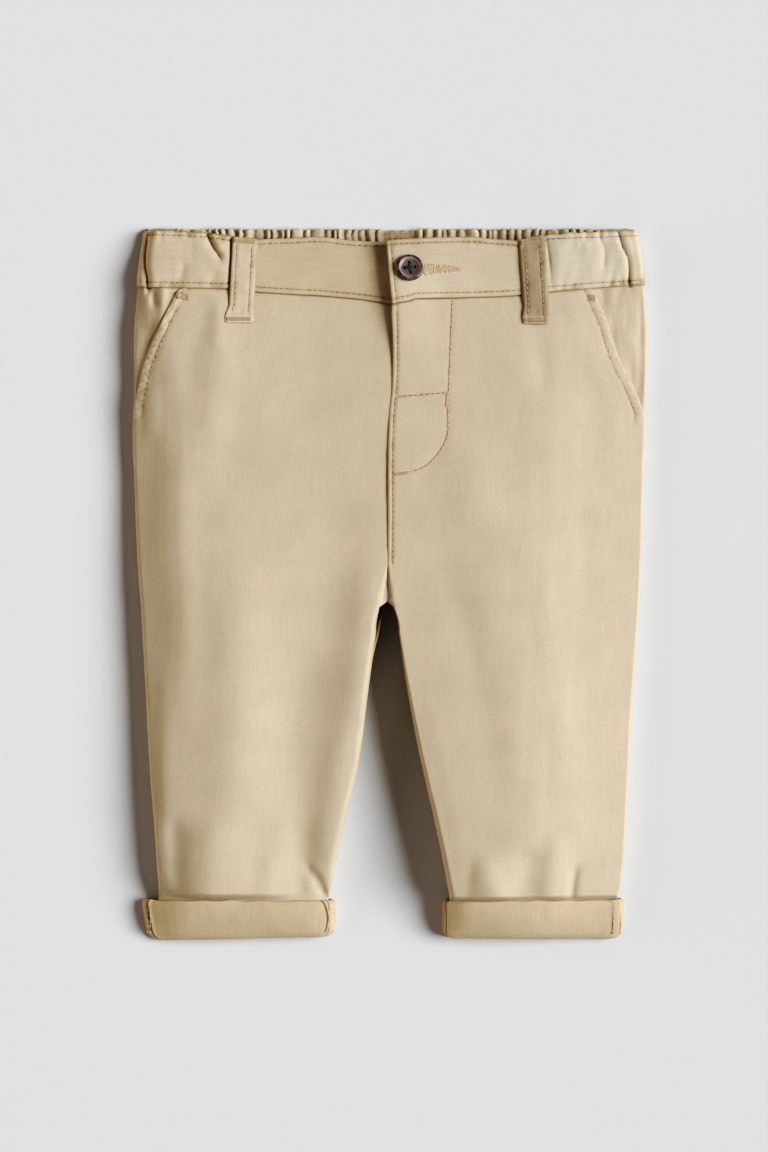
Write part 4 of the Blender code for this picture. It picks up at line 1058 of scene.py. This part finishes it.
def make_loop(loop, material):
    share, offset = np.meshgrid(eased_ends(0.08, 6, 50), eased_ends(0.16, 7, 14) - 0.5, indexing="ij")
    plain, detail = loop_plain(loop, share, offset), loop_detail(loop, share, offset)
    lifts = (plain + detail, plain - LOOP_WALL)
    grid = loop_base(loop, share, offset)
    piece = make_sheet(f"loop_strap_{loop.side}", grid, lifts, wear_and_hollow_shade(detail), material)
    declare_sheet(piece, "belt_loop_" + loop.side)


# ---------------------------------------------------------------- threads

# Rings of a short thread: place along it, thickness and height above the cloth, the last two in thread radii
BEAD_RINGS = ((0, 0.35, -0.6), (0.12, 0.8, 0.1), (0.5, 1, 0.75), (0.88, 0.8, 0.1), (1, 0.35, -0.6))
BEAD_SIDES = 6


def beads(starts, ends, normals, radius, hole_shade=0):
    """Points, faces and painted-shade flags of short threads, domed in the middle and sunk at the ends: a flag
    of 1 paints a thread dark as the shade of a needle hole.
    """
    side = unit(np.cross(normals, ends - starts))
    angles = TAU * np.arange(BEAD_SIDES) / BEAD_SIDES
    turned = np.cos(angles)[:, None, None] * side + np.sin(angles)[:, None, None] * normals
    rings = [
        starts + (ends - starts) * place + normals * radius * high + turned * radius * thick
        for place, thick, high in BEAD_RINGS
    ]
    points = np.stack(rings).transpose(2, 0, 1, 3).reshape(-1, 3)
    per_bead = len(BEAD_RINGS) * BEAD_SIDES
    index = np.arange(per_bead).reshape(-1, BEAD_SIDES)
    caps = [ring[[0, *pair]] for ring in (index[0], index[-1][::-1]) for pair in ((1, 2, 3), (3, 4, 5))]
    one = np.vstack([grid_faces(np.hstack([index, index[:, :1]])), np.array(caps)[:, ::-1]])
    faces = one[None] + (np.arange(len(starts)) * per_bead)[:, None, None]
    return points, faces.reshape(-1, 4), np.full(len(points), float(hole_shade))


def joined(parts):
    """Points, faces and painted-shade flags of several lots of threads together."""
    points, faces, hole_shades = zip(*parts)
    before = np.cumsum([0, *(len(lot) for lot in points)])
    faces = np.vstack([lot + total for lot, total in zip(faces, before)])
    return np.vstack(points), faces, np.concatenate(hole_shades)


def make_threads(name, parts, material):
    points, faces, hole_shades = joined(parts)
    piece = new_object(name, points, faces, material, {"needle_mark": hole_shades})
    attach(piece, "root")


def run_of_stitches(surface, path, seed):
    """A row of stitches along (x, drop) points on a surface, with short dark threads of painted shade in the
    needle holes between them.
    """
    path = np.array(path, float)
    steps = np.concatenate([[0], np.cumsum(np.linalg.norm(np.diff(path, axis=0), axis=1))])
    fine = np.linspace(0, steps[-1], max(8, int(steps[-1] / 0.4)))
    points, normals = surface(np.interp(fine, steps, path[:, 0]), np.interp(fine, steps, path[:, 1]))
    reach = np.concatenate([[0], np.cumsum(np.linalg.norm(np.diff(points, axis=0), axis=1))])
    k = np.arange(int(reach[-1] / STITCH_PITCH))
    begin = (k + 0.1) * STITCH_PITCH + 0.18 * scatter(k, 0, seed)
    stop = begin + STITCH_LENGTH * (1 + 0.1 * scatter(k, 1, seed))

    def at(where, values=points):
        return np.stack([np.interp(where, reach, values[:, c]) for c in range(3)], -1)

    normal = unit(at((begin + stop) / 2, normals))
    skew = np.cross(normal, at(stop) - at(begin)) * (0.05 * scatter(k, 2, seed))[:, None]
    gap = (k + 1.1) * STITCH_PITCH - (STITCH_PITCH - STITCH_LENGTH) / 2
    hole_shades = beads(at(gap - NEEDLE_HOLE_SHADE / 2), at(gap + NEEDLE_HOLE_SHADE / 2), normal, 0.95 * THREAD_RADIUS, 1)
    return joined([beads(at(begin) - skew, at(stop) + skew, normal, THREAD_RADIUS), hole_shades])


def threads_between(surface, starts, ends, radius, lift, end_lift):
    """Short threads between places on a surface, each end lifted a little off it."""
    a, normal = surface(*starts)
    b, _ = surface(*ends)
    return beads(a + normal * lift, b + normal * end_lift, normal, radius)


def bar_tack(surface, start, end, width, seed=5):
    """A dense block of short threads across the line from start to end."""
    start, end = np.array(start), np.array(end)
    along = (end - start) / np.linalg.norm(end - start)
    count = max(3, int(np.linalg.norm(end - start) / TACK_PITCH))
    share = (np.arange(count) + 0.5)[:, None] / count
    middle = start * (1 - share) + end * share
    uneven = 1 + 0.12 * scatter(np.arange(count), 0, seed)[:, None]
    reach = np.array([-along[1], along[0]]) * width / 2 * uneven + along * TACK_PITCH * 0.5
    return threads_between(surface, (middle - reach).T, (middle + reach).T, TACK_THREAD, 0.12, 0.12)


def stitch_bands(thread):
    parts = []
    inset = BAND_STITCH_IN
    for side, ranges in (("right", ((-116.5, -76.8), (-62.5, -3.4))), ("left", ((0.6, 62), (75.8, 119)))):
        for number, (low, high) in enumerate(ranges):
            x = np.linspace(low, high, 60)
            at_end = side == "left" and number == 0
            top, seam = (x[x > band_end(down) + inset - 0.6] if at_end else x for down in (0, 1))
            top_line = np.column_stack([top, BAND_TOP(top) + inset])
            seam_line = np.column_stack([seam, BAND_SEAM(seam) - SEAM_GAP / 2 - inset])
            parts.append(run_of_stitches(BAND_SURFACE[side], top_line, 1 + number))
            parts.append(run_of_stitches(BAND_SURFACE[side], seam_line, 3 + number))
    down = np.linspace(0.12, 0.9, 12)
    x = band_end(down) + inset
    path = np.column_stack([x, BAND_TOP(x) + down * (BAND_SEAM(x) - BAND_TOP(x))])
    parts.append(run_of_stitches(BAND_SURFACE["left"], path, 7))
    for drop in (2.6, 5):
        path = ((FLAT_CENTRE_X - FLAT_CENTRE - 0.5, drop), (FLAT_CENTRE_X + FLAT_CENTRE, drop + 0.2))
        parts.append(run_of_stitches(back_band_face, path, 9))
    make_threads("waistband_topstitching", parts, thread)


def back_band_face(x, drop):
    """The flat centre of the back band's inner face."""
    points = np.stack([x, LENGTH / 2 - drop, np.full_like(x, ELASTIC_WALL)], -1)
    return points, np.zeros_like(points) + (0, 0, 1)


def stitch_pockets(thread):
    parts = []
    for side in SIDES:
        drop = np.linspace(36.5 if side == "right" else 33, POCKET_END - 2, 40)
        slant = mouth_slant(side, drop)
        inset = OUTWARD[side] * MOUTH_STITCH_IN / np.sqrt(1 + slant**2)
        path = np.column_stack([mouth_x(side, drop) - inset, drop + inset * slant])
        parts.append(run_of_stitches(FRONT_SURFACE[side], path, 11))
    make_threads("pocket_topstitching", parts, thread)


def stitch_fly(thread):
    drop = np.linspace(40, 162, 60)
    edge = np.column_stack([fly_x("left", drop) + FLY_STITCH_IN, drop])
    lines = (edge, smooth_path(FLY_STITCH), smooth_path(FLY_CROSS_STITCH))
    parts = [run_of_stitches(FRONT_SURFACE["left"], line, 13 + number) for number, line in enumerate(lines)]
    make_threads("fly_topstitching", parts, thread)


def stitch_loops(thread):
    down = np.linspace(0.09, 0.91, 30) * LOOP_LENGTH
    parts = [
        run_of_stitches(loop_surface(loop), np.column_stack([across + 0 * down, down]), 17)
        for loop in BELT_LOOPS for across in (-0.3, 0.3)
    ]
    make_threads("belt_loop_stitching", parts, thread)


def stitch_tacks(thread):
    """Bar tacks at the belt loops, the tops of the pockets and the fly."""
    parts = []
    across = np.linspace(-0.4, 0.4, 24)
    for loop in BELT_LOOPS:
        for share in (0.045, 0.955):
            for row in (-0.0032, 0.0032):
                top, end = (share - row - 0.018) * LOOP_LENGTH, (share + row + 0.018) * LOOP_LENGTH
                starts, ends = (across - 0.008, top + 0 * across), (across + 0.008, end + 0 * across)
                parts.append(threads_between(loop_surface(loop), starts, ends, TACK_THREAD, 0.1, 0.1))
    for side, (length, drop) in POCKET_TACKS.items():
        edge = OUTWARD[side] * MOUTH[side](32.6)
        for shift in (0, 1.6):
            start = (edge - OUTWARD[side] * 0.5, drop + shift)
            end = (edge - OUTWARD[side] * length, POCKET_TACK_END + shift)
            parts.append(bar_tack(FRONT_SURFACE[side], start, end, POCKET_TACK_WIDTH))
    parts += [bar_tack(FRONT_SURFACE["left"], *tack) for tack in FLY_TACKS]
    make_threads("bar_tacks", parts, thread)


def stitch_buttonhole(thread):
    """The worked edge of the buttonhole: threads out from both sides of a slit, shorter towards its outer end.
    """
    surface = BAND_SURFACE["left"]
    k = np.arange(60)
    x, drop = np.linspace(*BUTTONHOLE, len(k)).T
    bite = BUTTONHOLE_BITE * (1 - 0.62 * k / k[-1])
    parts = []
    for sign in (-1, 1):
        uneven = bite * (1 + 0.3 * scatter(k, 0, 23 + sign))
        starts = (x + 0.25 * sign, drop + sign * 0.1)
        ends = (x + 0.9 * scatter(k, 1, 27 + sign), drop + sign * uneven)
        parts.append(threads_between(surface, starts, ends, TACK_THREAD * 1.15, 0.18, 0.08))
        # Every third bite gets a short dark thread: painted shade in the gaps of the stitching
        picked = k % 3 == 1
        inset, _ = surface(x[picked], drop[picked] + sign * 0.45 * bite[picked])
        steep = surface(*starts)[1][picked] + (0, 0, 0.25)
        parts.append(beads(inset - (0.2, 0, 0), inset + (0.2, 0.1 * sign, 0), steep, TACK_THREAD * 1.2, 1))
    make_threads("buttonhole_stitching", parts, thread)


def cuff_surface(side):
    """The turn-up's upper face over (x, distance up from its fold)."""
    out, inn = CUFF_EDGES[side]

    def surface(x, up):
        along = np.abs(x - out)
        height, beside = (cuff_heights(side, at, abs(inn - out), up)[1] for at in (along, along + 0.1))
        normal = unit(np.stack([(beside - height) / 0.1 * OUTWARD[side], 0 * x, np.ones_like(x)], -1))
        return np.stack([x, -LENGTH / 2 + up, height], -1) + normal * 0.45, normal
    return surface


def stitch_cuffs(thread):
    """The two lines of stitching along the turned-back outer seams."""
    up = np.linspace(3, CUFF_HEIGHT - 1.2, 12)
    parts = []
    for side in SIDES:
        seams = CUFF_SEAMS[side]
        for edge in (-0.5, 0.5):
            path = np.column_stack([seams.outseam_x + edge * seams.outseam_width + 0 * up, up])
            parts.append(run_of_stitches(cuff_surface(side), path, 19))
    make_threads("turn_up_stitching", parts, thread)


# ---------------------------------------------------------------- button

BUTTON_PROFILE = (
    (0, 0), (4.6, 0), (5.6, 0.4), (6.15, 0.9), (BUTTON_RADIUS, 1.5), (6.3, 2.1), (6, 2.6), (5.6, 2.85),
    (5.2, 2.9), (4.85, 2.75), (4.5, 2.4), (4.1, 2), (3.7, 1.86), (2, 1.8), (0, 1.8),
)


def object_from(bm, name, material):
    mesh = bpy.data.meshes.new(name)
    bm.to_mesh(mesh)
    bm.free()
    mesh.materials.append(material)
    return put_in_scene(name, mesh)


def drilled_button(holes, material):
    """The button's mesh: its profile spun round, less its holes."""
    bm = bmesh.new()
    verts = [bm.verts.new((radius, 0, height)) for radius, height in BUTTON_PROFILE]
    edges = [bm.edges.new(pair) for pair in zip(verts, verts[1:])]
    bmesh.ops.spin(bm, geom=verts + edges, axis=(0, 0, 1), cent=(0, 0, 0), steps=72, angle=TAU)
    bmesh.ops.remove_doubles(bm, verts=bm.verts, dist=0.001)
    bmesh.ops.recalc_face_normals(bm, faces=bm.faces)
    cutters = bmesh.new()
    for hole in holes:
        bmesh.ops.create_cone(
            cutters, cap_ends=True, segments=20, depth=8, radius1=BUTTON_HOLE_RADIUS,
            radius2=BUTTON_HOLE_RADIUS, matrix=Matrix.Translation(hole),
        )
    blank, drill = object_from(bm, "button_blank", material), object_from(cutters, "button_drill", material)
    cut = blank.modifiers.new("Holes", "BOOLEAN")
    cut.operation = "DIFFERENCE"
    cut.solver = "EXACT"
    cut.object = drill
    mesh = bpy.data.meshes.new_from_object(blank.evaluated_get(bpy.context.evaluated_depsgraph_get()))
    mesh.name = "sewn_button"
    mesh.shade_smooth()
    mesh.set_sharp_from_angle(angle=math.radians(40))
    for helper in (blank, drill):
        bpy.data.objects.remove(helper)
    return mesh


def make_button(material, thread):
    """A four-hole button with a raised rim, turned about its own axis, and the threads that hold it."""
    reach = BUTTON_HOLE_SPACING / math.sqrt(2)
    angles = [BUTTON_TURN + QUARTER_TURN * (k + 0.5) for k in range(4)]
    holes = [Vector((reach * math.cos(angle), reach * math.sin(angle), 1)) for angle in angles]
    seat_surface = on_front("left", band_plain, lambda *_: BUTTON_SEAT)
    seat, normal = (value[0] for value in seat_surface([BUTTON_X], [BUTTON_DROP]))
    upright = Vector(normal).to_track_quat("Z", "Y").to_matrix()
    place = Matrix.Translation(Vector(seat) * MM) @ upright.to_4x4()
    button = put_in_scene("sewn_button", drilled_button(holes, material))
    size = (BUTTON_GROWN * MM, BUTTON_GROWN * MM, BUTTON_THINNESS * MM, 1)
    button.matrix_world = place @ Matrix.Diagonal(size)
    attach(button, "root")
    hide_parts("button")

    turn = np.array(place.to_3x3())
    spots = [seat + turn @ np.array((hole.x, hole.y, 1.75 * BUTTON_THINNESS)) for hole in holes]
    starts, ends = [], []
    for start, end, lift in ((spots[0], spots[2], 0.36), (spots[1], spots[3], 0.12)):
        aside = np.cross(normal, end - start) / np.linalg.norm(end - start)
        for shift in (-0.28, 0, 0.28):
            starts.append(start + aside * shift + normal * lift)
            ends.append(end + aside * shift + normal * lift)
    parts = [beads(np.array(starts), np.array(ends), np.tile(normal, (len(starts), 1)), 0.26)]
    make_threads("button_thread", parts, thread)


# ---------------------------------------------------------------- finishes

class Nodes:
    """Adds shader nodes to one tree. All but node and feed give the new node's output."""

    def __init__(self, tree):
        self.tree = tree

    def feed(self, sockets, values):
        """Links each value that is a socket, and sets the others."""
        for key, value in values.items():
            if isinstance(value, bpy.types.NodeSocket):
                self.tree.links.new(value, sockets[key])
            else:
                sockets[key].default_value = value

    def node(self, kind, values=None, **settings):
        node = self.tree.nodes.new("ShaderNode" + kind)
        for key, value in settings.items():
            setattr(node, key, value)
        self.feed(node.inputs, values or {})
        return node.outputs

    def math(self, operation, first, second=0):
        return self.node("Math", {0: first, 1: second}, operation=operation)[0]

    def add(self, first, second):
        return self.math("ADD", first, second)

    def times(self, first, second):
        return self.math("MULTIPLY", first, second)

    def scaled(self, vector, scale):
        return self.node("VectorMath", {0: vector, "Scale": scale}, operation="SCALE")[0]

    def stretched(self, vector, factors):
        return self.node("VectorMath", {0: vector, 1: factors}, operation="MULTIPLY")[0]

    def noise(self, place, scale, detail, **more):
        return self.node("TexNoise", {"Vector": place, "Scale": scale, "Detail": detail, **more})[0]

    def between(self, value, low, high, first, last):
        """First at value low and last at value high, and even between them."""
        return self.node("MapRange", {0: value, 1: low, 2: high, 3: first, 4: last})[0]

    def mix(self, share, first, second):
        return self.node("Mix", {0: share, 6: first, 7: second}, data_type="RGBA")[2]

    def bump(self, height, strength, distance):
        return self.node("Bump", {"Height": height, "Strength": strength, "Distance": distance})[0]

    def attribute(self, name, output):
        return self.node("Attribute", attribute_name=name)[output]

    def object_place(self):
        return self.node("TexCoord")["Object"]


def new_group(name, inputs, outputs):
    """An empty shader group. Inputs are (name, socket type, default) and outputs (name, socket type)."""
    group = bpy.data.node_groups.new(name, "ShaderNodeTree")
    for label, kind, default in inputs:
        group.interface.new_socket(label, in_out="INPUT", socket_type=kind).default_value = default
    for label, kind in outputs:
        group.interface.new_socket(label, in_out="OUTPUT", socket_type=kind)
    given, made = group.nodes.new("NodeGroupInput").outputs, group.nodes.new("NodeGroupOutput").inputs
    return group, Nodes(group), given, made


def new_material(name):
    material = bpy.data.materials.new(name)
    material.use_nodes = True
    return material, Nodes(material.node_tree), material.node_tree.nodes["Principled BSDF"].inputs


def twill_weave_group():
    """Diagonal ribs, single threads and long uneven yarns, from the place in the flat cloth."""
    group, nodes, given, made = new_group(
        "Twill weave",
        (("Place", "NodeSocketVector", (0, 0, 0)), ("Rib pitch (mm)", "NodeSocketFloat", 0.62)),
        (("Height", "NodeSocketFloat"), ("Yarn tone", "NodeSocketFloat"), ("Cloudiness", "NodeSocketFloat")),
    )
    place = nodes.scaled(given["Place"], 1000)
    parts = nodes.node("SeparateXYZ", {0: place})
    diagonal = nodes.add(parts["X"], nodes.times(parts["Y"], 0.75))
    diagonal = nodes.add(diagonal, nodes.times(nodes.noise(place, 0.5, 2), 0.35))
    rib = nodes.math("SINE", nodes.times(nodes.math("DIVIDE", diagonal, given["Rib pitch (mm)"]), TAU))
    threads = nodes.node("TexVoronoi", {"Vector": place, "Scale": 2.3}, distance="EUCLIDEAN")["Distance"]
    yarn = nodes.noise(nodes.stretched(place, (1.9, 0.75, 1)), 1, 3, Roughness=0.6)
    cross = nodes.noise(nodes.stretched(place, (1.1, 0.06, 1)), 1, 2)
    nodes.feed(made, {
        "Height": nodes.add(rib, nodes.times(threads, 0.9)),
        "Yarn tone": nodes.add(nodes.times(yarn, 0.68), nodes.times(cross, 0.32)),
        "Cloudiness": nodes.noise(place, 0.045, 4, Roughness=0.55),
    })
    return group


def dye_and_shade_group():
    """Cloth colour: yarns a little lighter and darker, raised parts made pale by wear, and painted shade, dark
    and warm, in hollows, lips and seams.
    """
    group, nodes, given, made = new_group(
        "Garment dye",
        (
            ("Dye", "NodeSocketColor", (0.6, 0.5, 0.35, 1)),
            ("Rubbed dye", "NodeSocketColor", (0.7, 0.62, 0.47, 1)),
            ("Deep dye", "NodeSocketColor", (0.4, 0.28, 0.15, 1)),
            ("Yarn tone", "NodeSocketFloat", 0.5),
            ("Cloudiness", "NodeSocketFloat", 0.5),
            ("Rubbed", "NodeSocketFloat", 0),
        ),
        (("Colour", "NodeSocketColor"), ("Roughness", "NodeSocketFloat")),
    )
    yarn = nodes.between(given["Yarn tone"], 0.32, 0.68, 0.89, 1.09)
    tone = nodes.times(yarn, nodes.between(given["Cloudiness"], 0.35, 0.65, 0.97, 1.03))
    pale = nodes.mix(nodes.between(given["Rubbed"], 0.1, 1, 0, 0.55), given["Dye"], given["Rubbed dye"])
    # Painted shade: hollows, lips and seams below the cloth's face are darkened towards the hollow shade
    # colour
    shaded_colour = nodes.mix(nodes.between(given["Rubbed"], -0.15, -1, 0, 0.7), pale, given["Deep dye"])
    rough = nodes.between(given["Yarn tone"], 0.3, 0.7, 0.94, 0.82)
    nodes.feed(made, {"Colour": nodes.scaled(shaded_colour, tone), "Roughness": rough})
    return group


BOUNCE_SHADE_SHARE = 0.78      # share of its colour that the cloth shows to bounced light: painted shade, so the gaps and floor beside the cloth stay darker
# Colour of the painted shade in the needle holes between stitches
NEEDLE_HOLE_SHADE_COLOUR = (0.13, 0.075, 0.035)


def twill(name, dye, rubbed_dye, hollow_shade_colour, weave_group, dye_and_shade_nodes):
    """Cotton twill in one colour of dye, with pale wear and painted shade in its hollows, and darker to
    bounced light as painted shade beside it.
    """
    material, nodes, shader = new_material(name)
    weave = nodes.node("Group", {"Place": nodes.attribute("weave", "Vector")}, node_tree=weave_group)
    cloth = nodes.node("Group", {
        "Dye": (*dye, 1),
        "Rubbed dye": (*rubbed_dye, 1),
        "Deep dye": (*hollow_shade_colour, 1),
        "Yarn tone": weave["Yarn tone"],
        "Cloudiness": weave["Cloudiness"],
        "Rubbed": nodes.attribute("rubbed", "Fac"),
    }, node_tree=dye_and_shade_nodes)
    # Painted shade: to bounced light the cloth is darker, so it lights the floor and the cloth beside it less
    bounce_shade = nodes.between(nodes.node("LightPath")["Is Diffuse Ray"], 0, 1, 1, BOUNCE_SHADE_SHARE)
    nodes.feed(shader, {
        "Base Color": nodes.scaled(cloth["Colour"], bounce_shade),
        "Roughness": cloth["Roughness"],
        "Normal": nodes.bump(weave["Height"], 0.35, 0.00012),
        "Specular IOR Level": 0.1,
    })
    return material


def sewing_thread(name, colour, dark):
    """Spun thread: its plies show as slanting lines, with a little change of tone along it; threads flagged as
    needle holes are painted dark as their shade.
    """
    material, nodes, shader = new_material(name)
    place = nodes.object_place()
    wave = {"Vector": place, "Scale": 900, "Distortion": 1}
    plies = nodes.node("TexWave", wave, bands_direction="DIAGONAL")["Fac"]
    shade = nodes.add(nodes.times(plies, 0.45), nodes.times(nodes.noise(place, 260, 2), 0.55))
    spun = nodes.mix(shade, (*dark, 1), (*colour, 1))
    nodes.feed(shader, {
        "Base Color": nodes.mix(nodes.attribute("needle_mark", "Fac"), spun, (*NEEDLE_HOLE_SHADE_COLOUR, 1)),
        "Normal": nodes.bump(plies, 0.5, 0.00006),
        "Roughness": 0.62,
        "Sheen Weight": 0.15,
    })
    return material


def horn_button(name):
    """Polished dark horn: brown and grey clouds, and a painted highlight, a paler ring, where the rim turns
    down.
    """
    material, nodes, shader = new_material(name)
    place = nodes.object_place()
    ramp = nodes.tree.nodes.new("ShaderNodeValToRGB")
    nodes.feed(ramp.inputs, {0: nodes.noise(place, 0.35, 5, Distortion=1.2)})
    clouds = ((0.36, (0.030, 0.018, 0.013, 1)), (0.66, (0.22, 0.155, 0.125, 1)))
    for element, (position, colour) in zip(ramp.color_ramp.elements, clouds):
        element.position = position
        element.color = colour
    parts = nodes.node("SeparateXYZ", {0: place})
    square = nodes.add(*(nodes.math("POWER", parts[axis], 2) for axis in ("X", "Y")))
    radius = nodes.math("POWER", square, 0.5)
    face = nodes.between(radius, 4.3, 3.6, 0, 1)
    colour = nodes.mix(nodes.times(face, 0.7), ramp.outputs[0], (0.165, 0.15, 0.165, 1))
    # Painted highlight: a paler ring where the rim turns down
    ring = nodes.between(nodes.math("ABSOLUTE", nodes.math("SUBTRACT", radius, 4.55)), 0.7, 0.15, 0, 0.7)
    scratches = nodes.noise(place, 3, 4)
    nodes.feed(shader, {
        "Base Color": nodes.mix(ring, colour, (0.42, 0.34, 0.27, 1)),
        "Roughness": nodes.between(scratches, 0.3, 0.7, 0.28, 0.44),
        "Normal": nodes.bump(scratches, 0.12, 0.0002),
    })
    return material


def pale_floor(name):
    material, nodes, shader = new_material(name)
    grain = nodes.noise(nodes.object_place(), 400, 2)
    grey = nodes.scaled((0.8, 0.8, 0.8), nodes.between(grain, 0, 1, 0.995, 1.005))
    nodes.feed(shader, {"Base Color": grey, "Roughness": 0.95, "Specular IOR Level": 0})
    return material


# ---------------------------------------------------------------- floor, light and camera

VIEW_HEIGHT = 552.96    # of the floor seen from top to bottom of the picture
CAMERA_PLACE = (-2.4, 3.84, 2500)
FOCUS_Z = 9
SENSOR_WIDTH = 36

# Lights: strength, colour, and width, height above the floor and direction in degrees
Light = namedtuple("Light", "name strength colour width elevation azimuth")
LIGHTS = (
    Light("wide window light", 4.16, (0.919, 0.954, 1), 34, 38, 3),
    Light("warm wall", 0.9, (1, 0.86, 0.75), 50, 18, 180),
)
SKY_COLOUR = (0.094, 0.086, 0.078)

# How the picture's darkest tones are deepened, as (tone, tone shown)
DEEP_TONES = (
    (0.05, 0.012), (0.10, 0.042), (0.15, 0.092), (0.20, 0.155), (0.25, 0.222), (0.30, 0.288), (0.40, 0.396),
    (0.60, 0.60),
)


def add_light(kind):
    light = bpy.data.lights.new(kind.name, "SUN")
    light.energy = kind.strength
    light.color = kind.colour
    light.angle = math.radians(kind.width)
    high, around = math.radians(kind.elevation), math.radians(kind.azimuth)
    towards = Vector((math.cos(high) * math.cos(around), math.cos(high) * math.sin(around), math.sin(high)))
    lamp = put_in_scene(kind.name, light)
    lamp.rotation_mode = "QUATERNION"
    lamp.rotation_quaternion = towards.to_track_quat("Z", "Y")
    lamp.location = towards


def make_stage():
    bpy.ops.mesh.primitive_plane_add(size=8, location=(0, 0, -0.0002))
    floor = bpy.context.object
    floor.name = "floor"
    floor.data.materials.append(pale_floor("Pale floor"))
    for light in LIGHTS:
        add_light(light)

    world = bpy.data.worlds.new("White room")
    world.use_nodes = True
    world.node_tree.nodes["Background"].inputs["Color"].default_value = (*SKY_COLOUR, 1)
    bpy.context.scene.world = world
    view = bpy.context.scene.view_settings
    view.view_transform = "Standard"
    view.use_curve_mapping = True
    for tone, shown in DEEP_TONES:
        view.curve_mapping.curves[3].points.new(tone, shown)
    view.curve_mapping.update()

    lens = bpy.data.cameras.new("camera above")
    lens.sensor_width = SENSOR_WIDTH
    lens.lens = SENSOR_WIDTH * (CAMERA_PLACE[2] - FOCUS_Z) / VIEW_HEIGHT
    lens.clip_end = 20
    camera = put_in_scene("camera above", lens)
    camera.location = Vector(CAMERA_PLACE) * MM
    bpy.context.scene.camera = camera


# ---------------------------------------------------------------- the whole garment

def main():
    groups = (twill_weave_group(), dye_and_shade_group())
    # Each twill: its dye, the paler colour of wear, and the dark warm colour of painted shade in its hollows,
    # lips and seams
    sand = twill("Sand twill", (0.675, 0.560, 0.396), (0.75, 0.655, 0.49), (0.36, 0.235, 0.125), *groups)
    wrong_side = twill(
        "Sand twill wrong side", (0.66, 0.514, 0.334), (0.73, 0.595, 0.41), (0.26, 0.15, 0.075), *groups
    )
    # A darker copy of the twill for the right front band: painted shade
    band = twill(
        "Sand twill right band", (0.645, 0.512, 0.342), (0.72, 0.61, 0.44), (0.34, 0.222, 0.118), *groups
    )
    # A darker copy of the twill for the left belt loop's strap: partly the browner cloth it is cut from,
    # partly painted shade as it leans away from the light
    strap = twill("Sand twill strap", (0.585, 0.475, 0.335), (0.70, 0.60, 0.45), (0.32, 0.215, 0.12), *groups)
    thread = sewing_thread("Tan thread", (0.66, 0.51, 0.33), (0.44, 0.31, 0.175))
    tack_thread = sewing_thread("Bar tack thread", (0.78, 0.58, 0.38), (0.52, 0.34, 0.19))
    hole_thread = sewing_thread("Buttonhole thread", (0.92, 0.72, 0.50), (0.62, 0.43, 0.26))
    dark_thread = sewing_thread("Button thread", (0.10, 0.07, 0.055), (0.03, 0.02, 0.018))

    for side in SIDES:
        make_back(side, sand)
    make_back_band(sand)
    for side in SIDES:
        make_front(side, sand)
        make_hip(side, sand)
        make_front_band(side, band if side == "right" else sand)
        make_cuff(side, wrong_side)
    for loop in BELT_LOOPS:
        make_loop(loop, sand if loop.side == "right" else strap)
    for stitch in (stitch_bands, stitch_pockets, stitch_fly, stitch_loops, stitch_cuffs):
        stitch(thread)
    stitch_tacks(tack_thread)
    stitch_buttonhole(hole_thread)
    make_button(horn_button("Dark horn"), dark_thread)
    make_stage()


main()
